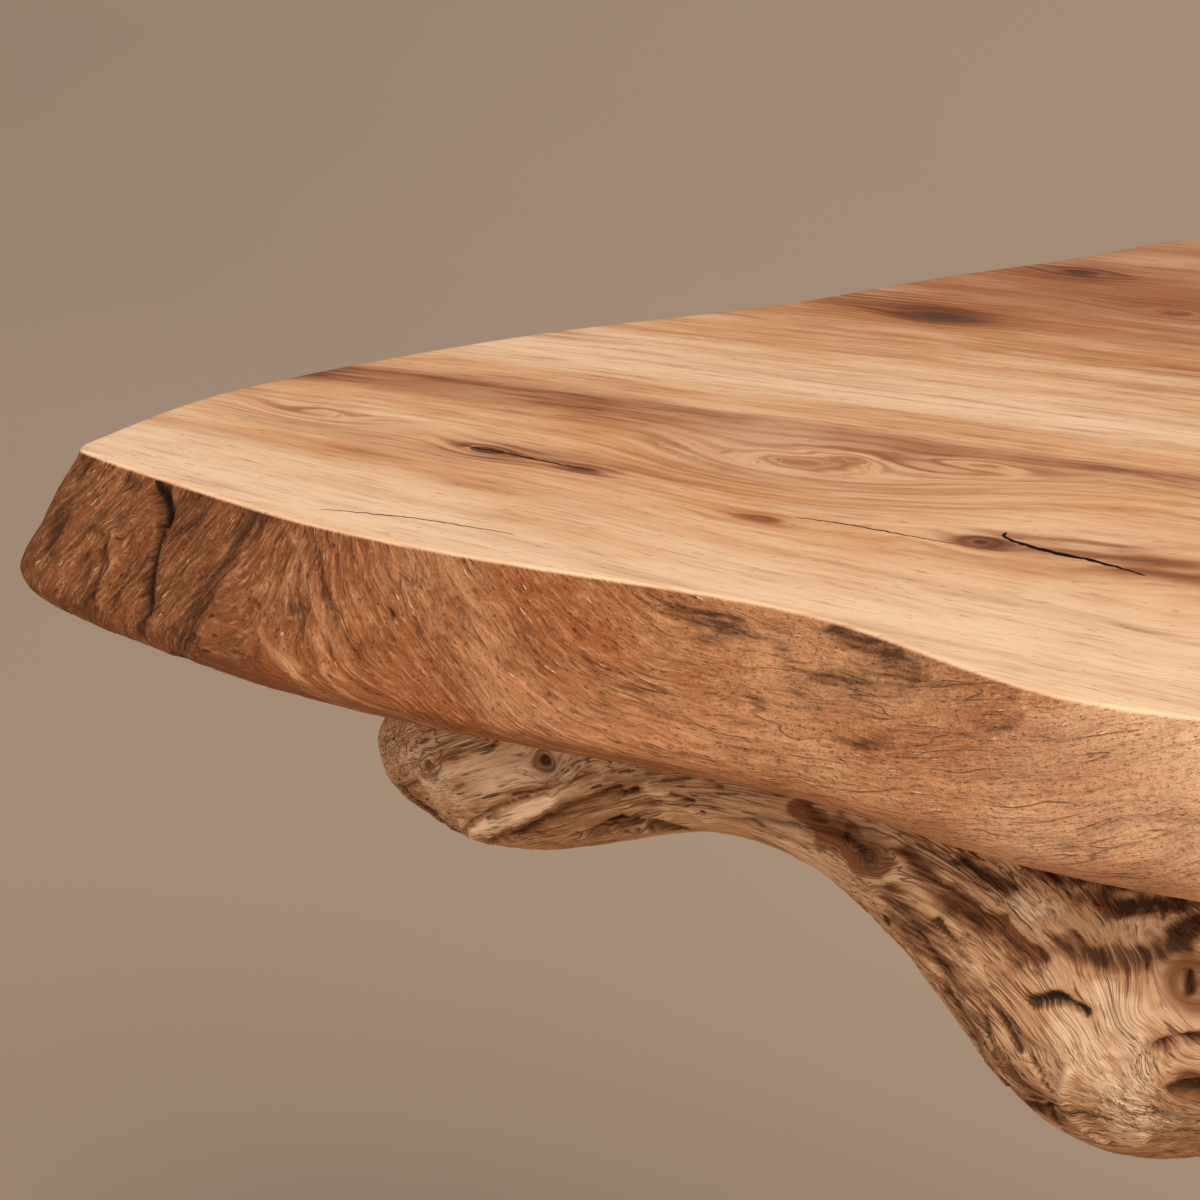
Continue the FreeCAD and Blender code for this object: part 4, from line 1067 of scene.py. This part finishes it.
def refine_front(mesh, solid):
    """Divide the trunk's photographed end more finely, and lay the new points back on its solid."""
    def shown(place, normal):
        """Whether a place belongs to the photographed end and looks towards the viewer."""
        return place.x < FRONT_END and normal.dot(TO_VIEWER) > FACING

    work = bmesh.new()
    work.from_mesh(mesh)
    work.normal_update()
    near = [face for face in work.faces if shown(face.calc_center_median(), face.normal)]
    edges = {edge for face in near for edge in face.edges}
    bmesh.ops.subdivide_edges(work, edges=list(edges), cuts=2, use_grid_fill=True)
    work.normal_update()
    for vert in work.verts:
        if shown(vert.co, vert.normal):
            vert.co = solid.find_nearest(vert.co)[0]
    work.to_mesh(mesh)
    work.free()


def even_piece(node, voxel):
    """A piece remeshed evenly from a node's solid, and the solid's search tree."""
    work = merged(node)
    solid = BVHTree.FromBMesh(work)
    mesh = bpy.data.meshes.new(node)
    work.to_mesh(mesh)
    work.free()
    piece = link(f"worn_{node}", mesh)
    remesh = piece.modifiers.new("even", "REMESH")
    remesh.mode = "VOXEL"
    remesh.voxel_size = voxel
    settle(piece)
    return piece, solid


def apply_knots(points, knots, grain):
    """Bend the grain round knots; gives the knots' darkness and the shape they raise."""
    dark, raised = np.zeros((2, len(points)))
    for knot in knots:
        radius = knot.radius * MM
        reach = np.linalg.norm(points - np.array(knot.place) * MM, axis=1) / radius
        reach *= 1 + 0.16 * wobble(points, 2.2 * radius, SEED + 5)
        heart = grain[np.argmin(reach)].copy()
        near = np.exp(-(reach / 1.7) ** 2)
        grain[:, 1] += (heart[1] + reach * radius - grain[:, 1]) * near
        grain[:, 2] += (heart[2] - grain[:, 2]) * near
        dark = np.maximum(dark, knot.darkness * np.exp(-(reach / COLLAR_RADIUS) ** 2))
        collar = COLLAR_HEIGHT * np.exp(-((reach - COLLAR_RADIUS) / 0.4) ** 2)
        raised += radius * (collar - PIT_DEPTH * np.exp(-(reach / 0.75) ** 2))
    return dark, raised


def wear_limb(piece, node, knots, marks, look, seed, material):
    """Give a limb its grain, marks and knots, and run the weathering nodes on it."""
    points = coordinates(piece.data)
    along, round_it, girth = grain_frame(points)
    angle = np.arctan2(round_it[:, 1], round_it[:, 0]) + GRAIN_TWIST * along
    grain = np.column_stack([along, girth * np.cos(angle), girth * np.sin(angle)])
    if node == TRUNK:
        grain = trunk_grain(points, grain)

    carve, stain, polish = apply_marks(points, marks)
    knot, raised = apply_knots(points, knots, grain)
    height = points[:, 2]
    grip = ease(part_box(SLAB)[0].z - height, *SLAB_FADE) * ease(height, *FLOOR_FADE)
    store(piece.data, "grain", *grain.T)
    store(piece.data, "marks", stain, knot, polish)
    store(piece.data, "tooling", (carve + raised) * grip, grip)
    weather(piece, look.groove, look.lump, seed, material)
    finish_piece(piece, "driftwood", node)


def random_marks(node, dice, count):
    """Knots, hollows and pale ridges for what the photo doesn't show of a limb."""
    points = coordinates(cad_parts[node].data)
    axis = np.linalg.svd((points - points.mean(0))[::11], full_matrices=False)[2][0]
    knots, marks = [], []
    for number in range(count):
        place = points[dice.integers(len(points))] / MM
        if number % 3 == 0:
            knots.append(Knot(tuple(place), dice.uniform(*KNOT_RADII), dice.uniform(*KNOT_DARKNESS)))
            continue
        reach = dice.uniform(*MARK_REACH)
        sway = dice.normal(0, MARK_SWAY, (2, 3))
        path = [place - axis * reach + sway[0], place, place + axis * reach + sway[1]]
        if number % 3 == 1:
            marks.append(Mark(path, dice.uniform(*HOLLOW_WIDTH), dice.uniform(*HOLLOW_DEPTH),
                              dice.uniform(*HOLLOW_STAIN)))
        else:
            marks.append(Mark(path, dice.uniform(*RIDGE_WIDTH), -dice.uniform(*RIDGE_HEIGHT), RIDGE_STAIN))
    return knots, marks


def make_limbs(nodes, count):
    """Build limbs from their solids, each with its own draw of marks, and the trunk with the photo's."""
    look = bpy.context.scene.table_driftwood
    material = bpy.data.materials.get("worn_driftwood") or driftwood_material(look)
    for node in nodes:
        dice = np.random.default_rng(SEED + sum(node.encode()))
        knots, marks = random_marks(node, dice, count)
        seed = float(dice.uniform(0, 50))
        piece, solid = even_piece(node, look.trunk_voxel if node == TRUNK else look.limb_voxel)
        if node == TRUNK:
            refine_front(piece.data, solid)
            shown = [knot._replace(place=seen_at(solid, knot.place)) for knot in TRUNK_KNOTS.values()]
            knots = shown + [knot for knot in knots if knot.place[0] > GUESSED_KNOTS_FROM]
            guessed = [mark for mark in marks if mark.path[1][0] > GUESSED_MARKS_FROM]
            marks = traced(TRUNK_MARKS, solid) + guessed
        wear_limb(piece, node, knots, marks, look, seed, material)


def arris_loop():
    """The outline of the slab's top, anticlockwise from its front left corner, read from the solid."""
    work = merged(SLAB)
    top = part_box(SLAB)[1].z
    flat = {face for face in work.faces if face.calc_center_median().z > top - 0.05 * MM}
    following = {}
    for face in flat:
        for loop in face.loops:
            if not any(other in flat for other in loop.edge.link_faces if other is not face):
                following[loop.vert] = loop.link_loop_next.vert
    start = min(following, key=lambda vert: vert.co.x + 0.6 * vert.co.y)
    chain = [start]
    while following[chain[-1]] is not start:
        chain.append(following[chain[-1]])
    outline = np.array([vert.co[:2] for vert in chain])
    tree = BVHTree.FromBMesh(work)
    work.free()
    return outline, tree, top


def along_path(path, lengths, where):
    """Points of a flat path at distances along it."""
    return np.column_stack([np.interp(where, lengths, path[:, axis]) for axis in range(2)])


def right_of(runs):
    """The unit directions to the right of flat directions."""
    return np.column_stack([runs[:, 1], -runs[:, 0]]) / np.linalg.norm(runs, axis=1)[:, None]


def walk(outline, fine, coarse):
    """Points along a closed outline, close together round the front left corner, and their distances."""
    closed = np.vstack([outline, outline[:1]])
    lengths = lengths_along(closed)
    places = [0.0]
    while places[-1] < lengths[-1]:
        x, y = along_path(closed, lengths, places[-1])[0]
        near = x < CORNER_X and y < CORNER_Y
        places.append(places[-1] + (fine if near else coarse))
    places = (np.array(places) * lengths[-1] / places[-1])[:-1]
    return along_path(closed, lengths, places), places, lengths[-1]


def outward_of(ring, places, total):
    """Outward directions along a ring, averaged over a stretch so that corners fan out evenly."""
    closed = np.vstack([ring, ring[:1]])
    lengths = np.append(places, total)
    ahead, behind = [along_path(closed, lengths, (places + offset) % total)
                     for offset in (OUTWARD_REACH, -OUTWARD_REACH)]
    return right_of(ahead - behind)


def edge_rows(ring, out, tree, top, arris):
    """Rows of points from the top, over the rubbed arris and down the live edge to the underside."""
    rows = [np.column_stack([ring + out * push * arris, np.full(len(ring), top + drop * arris)])
            for push, drop in ARRIS_ROWS]
    # The first cast row lies just below the arris
    start = math.atan2(HALF_RISE - 1.3 * arris, INNER + 0.4 * arris)
    for turn in np.linspace(start, LAST_TURN, EDGE_ROWS):
        row = []
        for (x, y), (out_x, out_y) in zip(ring, out):
            origin = Vector((x - out_x * INNER, y - out_y * INNER, top - HALF_RISE))
            ray = Vector((out_x * math.cos(turn), out_y * math.cos(turn), math.sin(turn)))
            hit = tree.ray_cast(origin, ray)[0]
            if hit is None:
                raise RuntimeError(f"no edge at {x:.3f}, {y:.3f}")
            row.append(hit)
        rows.append(np.array(row))
    return np.array(rows)


def edge_grain(places, total, rows):
    """Fibre coordinates of the live edge, which turn with the lean of its fibres, and the way down it."""
    keys, turns = zip(*FIBRE_LEANS, (total, FIBRE_LEANS[0][1]))
    lean = np.radians(np.interp(places, keys, turns))
    step = np.diff(np.append(places, total))
    fall = lengths_along(rows)
    along = np.concatenate([[0], np.cumsum(np.cos(lean) * step)[:-1]]) + fall * np.sin(lean)
    across = fall * np.cos(lean) - np.concatenate([[0], np.cumsum(np.sin(lean) * step)[:-1]])
    return along, across, fall


def inside_outline(points, outline):
    """Which points lie inside a closed outline."""
    inside = np.zeros(len(points), bool)
    for (x0, y0), (x1, y1) in zip(outline, np.roll(outline, -1, axis=0)):
        if y0 == y1:
            continue
        crosses = (points[:, 1] > y0) != (points[:, 1] > y1)
        inside ^= crosses & (points[:, 0] < (x1 - x0) * (points[:, 1] - y0) / (y1 - y0) + x0)
    return inside


def crack_shapes(dice, tree):
    """The cracks in the top: brink and lip as closed outlines, floor line, and the floor's depths."""
    shown = [crack._replace(places=[seen_at(tree, pixel)[:2] for pixel in crack.places])
             for crack in SHOWN_CRACKS.values()]
    shapes = []
    for crack in [*shown, *GUESSED_CRACKS.values()]:
        path = np.array(crack.places) * MM
        lengths = lengths_along(path)
        count = max(6, int(lengths[-1] / CRACK_STEP))
        line = along_path(path, lengths, np.linspace(0, lengths[-1], count))
        line[1:-1] += dice.normal(0, CRACK_STRAY, (count - 2, 2))
        run = np.gradient(line, axis=0)
        out = right_of(run)
        share = np.linspace(0, 1, count)
        swell = 0.25 + 0.75 * np.sin(np.pi * share ** 0.8)
        width = crack.half_width * MM * swell * dice.uniform(0.7, 1.2, count)
        width[[0, -1]] = 0
        rims = []
        for reach in (width, width + CRACK_LIP):
            right = line + out * reach[:, None]
            left = line - out * reach[:, None]
            first = line[:1] - run[0] / np.linalg.norm(run[0]) * reach[0]
            last = line[-1:] + run[-1] / np.linalg.norm(run[-1]) * reach[-1]
            rims.append(np.vstack([first, right[1:-1], last, left[-2:0:-1]]))
        shapes.append((rims, line[1:-1], crack.depth * MM * np.sin(np.pi * share[1:-1]) ** 0.5))
    return shapes


def fill(ring, extra, loops):
    """Triangles inside a ring, through closed loops and extra points: points, triangles, points' sources."""
    points = []
    edges = []
    for loop in [ring, *loops]:
        base = len(points)
        points += [Vector(p) for p in loop]
        edges += [(base + i, base + (i + 1) % len(loop)) for i in range(len(loop))]
    points += [Vector(p) for p in extra]
    made = geometry.delaunay_2d_cdt(points, edges, [], 1, 1e-7)
    return made[0], made[2], made[3]


def cap(verts, ring, base, extra, loops, height):
    """Fill a ring that verts holds from base on: adds the inner points, gives faces and their sources."""
    flat, triangles, origins = fill(ring, extra, loops)
    place_of = []
    sources = {}
    for (x, y), origin in zip(flat, origins):
        on_ring = [i for i in origin if i < len(ring)]
        if on_ring:
            place_of.append(base + on_ring[0])
            continue
        place_of.append(len(verts))
        sources[len(verts)] = origin
        verts.append((x, y, height))
    return [[place_of[i] for i in triangle] for triangle in triangles], sources


def nearest_gap(points, others):
    """Distance from each point to the nearest of others, in blocks to spare memory."""
    gaps = [np.linalg.norm(block[:, None] - others[None], axis=2).min(1)
            for block in np.array_split(points, len(points) // 2000 + 1)]
    return np.concatenate(gaps)


def grid_inside(ring, pitch, margin):
    """Points inside a ring, in staggered rows, that keep a margin from it."""
    low, high = ring.min(0), ring.max(0)
    xs = np.arange(low[0], high[0], pitch)
    ys = np.arange(low[1], high[1], pitch)
    grid = np.array([(x + (row % 2) * pitch / 2, y) for row, y in enumerate(ys) for x in xs])
    grid = grid[inside_outline(grid, ring)]
    return grid[nearest_gap(grid, ring) > margin]


def cap_top(verts, rim, top, tree):
    """Fill the top, sunk in along its cracks: its faces, and the points in or on the brink of a crack."""
    cracks = crack_shapes(np.random.default_rng(SEED), tree)
    floors = np.vstack([line for _, line, _ in cracks])
    depths = np.concatenate([depth for _, _, depth in cracks])
    grid = grid_inside(rim, TOP_GRID, TOP_MARGIN)
    grid = grid[nearest_gap(grid, floors) > CRACK_MARGIN]
    loops = [loop for rims, _, _ in cracks for loop in rims]
    faces, sources = cap(verts, rim, 0, np.vstack([grid, floors]), loops, top)
    brinks = set()
    start = len(rim)
    for (brink, lip), _, _ in cracks:
        brinks.update(range(start, start + len(brink)))
        start += len(brink) + len(lip)
    first_floor = start + len(grid)
    cracked = []
    for number, origin in sources.items():
        deep = [i - first_floor for i in origin if i >= first_floor]
        if deep:
            verts[number] = (*verts[number][:2], top - depths[deep[0]])
        if deep or brinks.intersection(origin):
            cracked.append(number)
    return faces, cracked


def strip_faces(count, width):
    """Faces between rows of points that close on themselves."""
    faces = []
    for row in range(count - 1):
        for column in range(width):
            after = (column + 1) % width
            faces.append((row * width + column, (row + 1) * width + column,
                          (row + 1) * width + after, row * width + after))
    return faces


def make_slab_mesh(look):
    """The slab: sanded top with its cracks, rubbed arris, live edge and flat underside."""
    outline, tree, top = arris_loop()
    ring, places, total = walk(outline, look.fine, look.coarse)
    rows = edge_rows(ring, outward_of(ring, places, total), tree, top, look.arris)
    count, width = rows.shape[:2]
    verts = [tuple(point) for row in rows for point in row]
    top_faces, cracked = cap_top(verts, rows[0][:, :2], top, tree)
    under = rows[-1][:, :2]
    spread = grid_inside(under, UNDER_GRID, UNDER_MARGIN)
    under_faces, _ = cap(verts, under, (count - 1) * width, spread, [], rows[-1][:, 2].mean())
    mesh = bpy.data.meshes.new("slab")
    mesh.from_pydata(verts, [], strip_faces(count, width) + top_faces + [face[::-1] for face in under_faces])
    mesh.validate()

    points = np.array(verts)
    flat = points[count * width:]

    def on_edge(values):
        """Values for the edge's points, and zero for those of the top and underside."""
        return np.concatenate([values.ravel(), np.zeros(len(flat))])

    along, across, fall = edge_grain(places, total, rows)
    drop = on_edge(fall / look.arris)
    height = points[:, 2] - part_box(SLAB)[0].z
    edge = ease(drop, *LOOK_FADE) * (1 - ease(height, *LOW_LOOK_FADE) * LOW_LOOK_SHARE)
    grip = ease(drop, *WEAR_FADE) * ease(height, *LOW_WEAR_FADE)
    grip *= on_edge(np.tile(np.where(places < CORNER_EDGE, CORNER_WEAR, OTHER_WEAR), count))
    carve, stain, _ = apply_marks(points, traced(EDGE_MARKS, tree))
    # Tone along the edge: partly the wood's own colour, partly painted shade near the front left corner and
    # painted light further along
    tone_and_light = np.interp(places, *zip(*EDGE_TONE_AND_LIGHT))
    crack = np.zeros(len(points))
    crack[cracked] = 1.0
    store(mesh, "grain", np.append(along, flat[:, 0]), np.append(across, flat[:, 1]))
    store(mesh, "marks", stain, on_edge(np.tile(tone_and_light, count)))
    store(mesh, "tooling", carve * np.minimum(grip, 1.0), grip)
    store(mesh, "edge", edge)
    store(mesh, "crack", crack)
    return mesh


class DRIFTWOOD_OT_slab(bpy.types.Operator):
    """Build the live-edge slab with its cracks and its worn edge"""
    bl_idname = "driftwood.slab"
    bl_label = "Slab"

    def execute(self, context):
        look = context.scene.table_slab
        piece = link("live_edge_slab", make_slab_mesh(look))
        weather(piece, look.groove, look.lump, SLAB_SEED, slab_material(look))
        finish_piece(piece, "slab", SLAB)
        return {"FINISHED"}


class DRIFTWOOD_OT_logs(bpy.types.Operator):
    """Wear the two logs that carry the slab"""
    bl_idname = "driftwood.logs"
    bl_label = "Logs"

    def execute(self, context):
        make_limbs(LOGS, LOG_MARKS)
        return {"FINISHED"}


class DRIFTWOOD_OT_legs(bpy.types.Operator):
    """Wear the four legs and their branch stubs"""
    bl_idname = "driftwood.legs"
    bl_label = "Legs"

    def execute(self, context):
        make_limbs(LEGS, LEG_MARKS)
        return {"FINISHED"}


class DRIFTWOOD_OT_stretchers(bpy.types.Operator):
    """Wear the stretchers between the legs"""
    bl_idname = "driftwood.stretchers"
    bl_label = "Stretchers"

    def execute(self, context):
        make_limbs(STRETCHERS, STRETCHER_MARKS)
        return {"FINISHED"}


class DRIFTWOOD_OT_braces(bpy.types.Operator):
    """Wear the knee braces"""
    bl_idname = "driftwood.braces"
    bl_label = "Braces"

    def execute(self, context):
        make_limbs(BRACES, BRACE_MARKS)
        return {"FINISHED"}


def dress(nodes, material):
    """Give carried-over solids their finish."""
    for node in nodes:
        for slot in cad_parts[node].material_slots:
            slot.link = "OBJECT"
            slot.material = material


class DRIFTWOOD_OT_fixings(bpy.types.Operator):
    """Finish the pegs, screws, washers, nails and glides"""
    bl_idname = "driftwood.fixings"
    bl_label = "Fixings"

    def execute(self, context):
        look = context.scene.table_fixings
        dress(PEGS, peg_material(look))
        dress(STEEL, steel_material(look))
        dress(GLIDES, nylon_material(look))
        return {"FINISHED"}


def area_light(name, lamp, power):
    """A round soft light."""
    light = bpy.data.lights.new(name, "AREA")
    light.shape = "DISK"
    light.size = lamp.size
    light.energy = power
    light.color = lamp.shade
    holder = link(name, light)
    holder.location = lamp.place
    holder.rotation_euler = (Vector(lamp.aim) - Vector(lamp.place)).to_track_quat("-Z", "Y").to_euler()


class DRIFTWOOD_OT_stage(bpy.types.Operator):
    """Set up the floor, the lights and the camera"""
    bl_idname = "driftwood.stage"
    bl_label = "Stage"

    def execute(self, context):
        scene = context.scene
        look = scene.table_stage
        mesh = bpy.data.meshes.new("floor")
        work = bmesh.new()
        bmesh.ops.create_circle(work, cap_ends=True, segments=FLOOR_SIDES, radius=FLOOR_RADIUS)
        work.to_mesh(mesh)
        work.free()
        floor = link("floor", mesh)
        mesh.materials.append(floor_material(look))

        area_light("key", KEY_LAMP, look.key)
        area_light("fill", FILL_LAMP, look.fill)
        world = bpy.data.worlds.new("studio")
        world.use_nodes = True
        world.node_tree.nodes.clear()
        bench = Bench(world.node_tree)
        seen = bench.node("ShaderNodeLightPath")
        air = bench.coats(SKY_SHADE, (look.backdrop, seen))
        strength = seen * (1 - look.sky) + look.sky
        glow = bench.node("ShaderNodeBackground", sockets={"Color": air, "Strength": strength})
        bench.node("ShaderNodeOutputWorld", sockets={"Surface": glow})
        scene.world = world

        lens = bpy.data.cameras.new("view")
        lens.sensor_width = SENSOR_WIDTH
        lens.lens = look.lens
        camera = link("view", lens)
        camera.location = look.camera
        camera.rotation_euler = (math.pi / 2 - look.pitch, 0, look.turn)
        scene.camera = camera
        scene.view_settings.view_transform = "Standard"
        return {"FINISHED"}


OPERATORS = [DRIFTWOOD_OT_stage, DRIFTWOOD_OT_slab, DRIFTWOOD_OT_logs, DRIFTWOOD_OT_legs,
             DRIFTWOOD_OT_stretchers, DRIFTWOOD_OT_braces, DRIFTWOOD_OT_fixings]
LOOKS = {"table_slab": SlabLook, "table_driftwood": DriftwoodLook, "table_fixings": FixingLook,
         "table_stage": StageLook}


class DRIFTWOOD_PT_table(bpy.types.Panel):
    """The table's pieces, in the order they are built"""
    bl_label = "Driftwood Table"
    bl_idname = "DRIFTWOOD_PT_table"
    bl_space_type = "VIEW_3D"
    bl_region_type = "UI"
    bl_category = "Table"

    def draw(self, context):
        for operator in OPERATORS:
            self.layout.operator(operator.bl_idname)
        for name in LOOKS:
            look = getattr(context.scene, name)
            box = self.layout.box()
            for item in look.__annotations__:
                box.prop(look, item)


def register():
    """Add the settings, the operators and the panel to Blender."""
    for name, look in LOOKS.items():
        bpy.utils.register_class(look)
        setattr(bpy.types.Scene, name, bpy.props.PointerProperty(type=look))
    for item in [*OPERATORS, DRIFTWOOD_PT_table]:
        bpy.utils.register_class(item)


def unregister():
    """Take away what register added."""
    for item in [DRIFTWOOD_PT_table, *reversed(OPERATORS)]:
        bpy.utils.unregister_class(item)
    for name, look in LOOKS.items():
        delattr(bpy.types.Scene, name)
        bpy.utils.unregister_class(look)


def main():
    """Build the whole table."""
    register()
    for step in ("stage", "slab", "logs", "legs", "stretchers", "braces", "fixings"):
        getattr(bpy.ops.driftwood, step)()


if __name__ == "__main__":
    main()
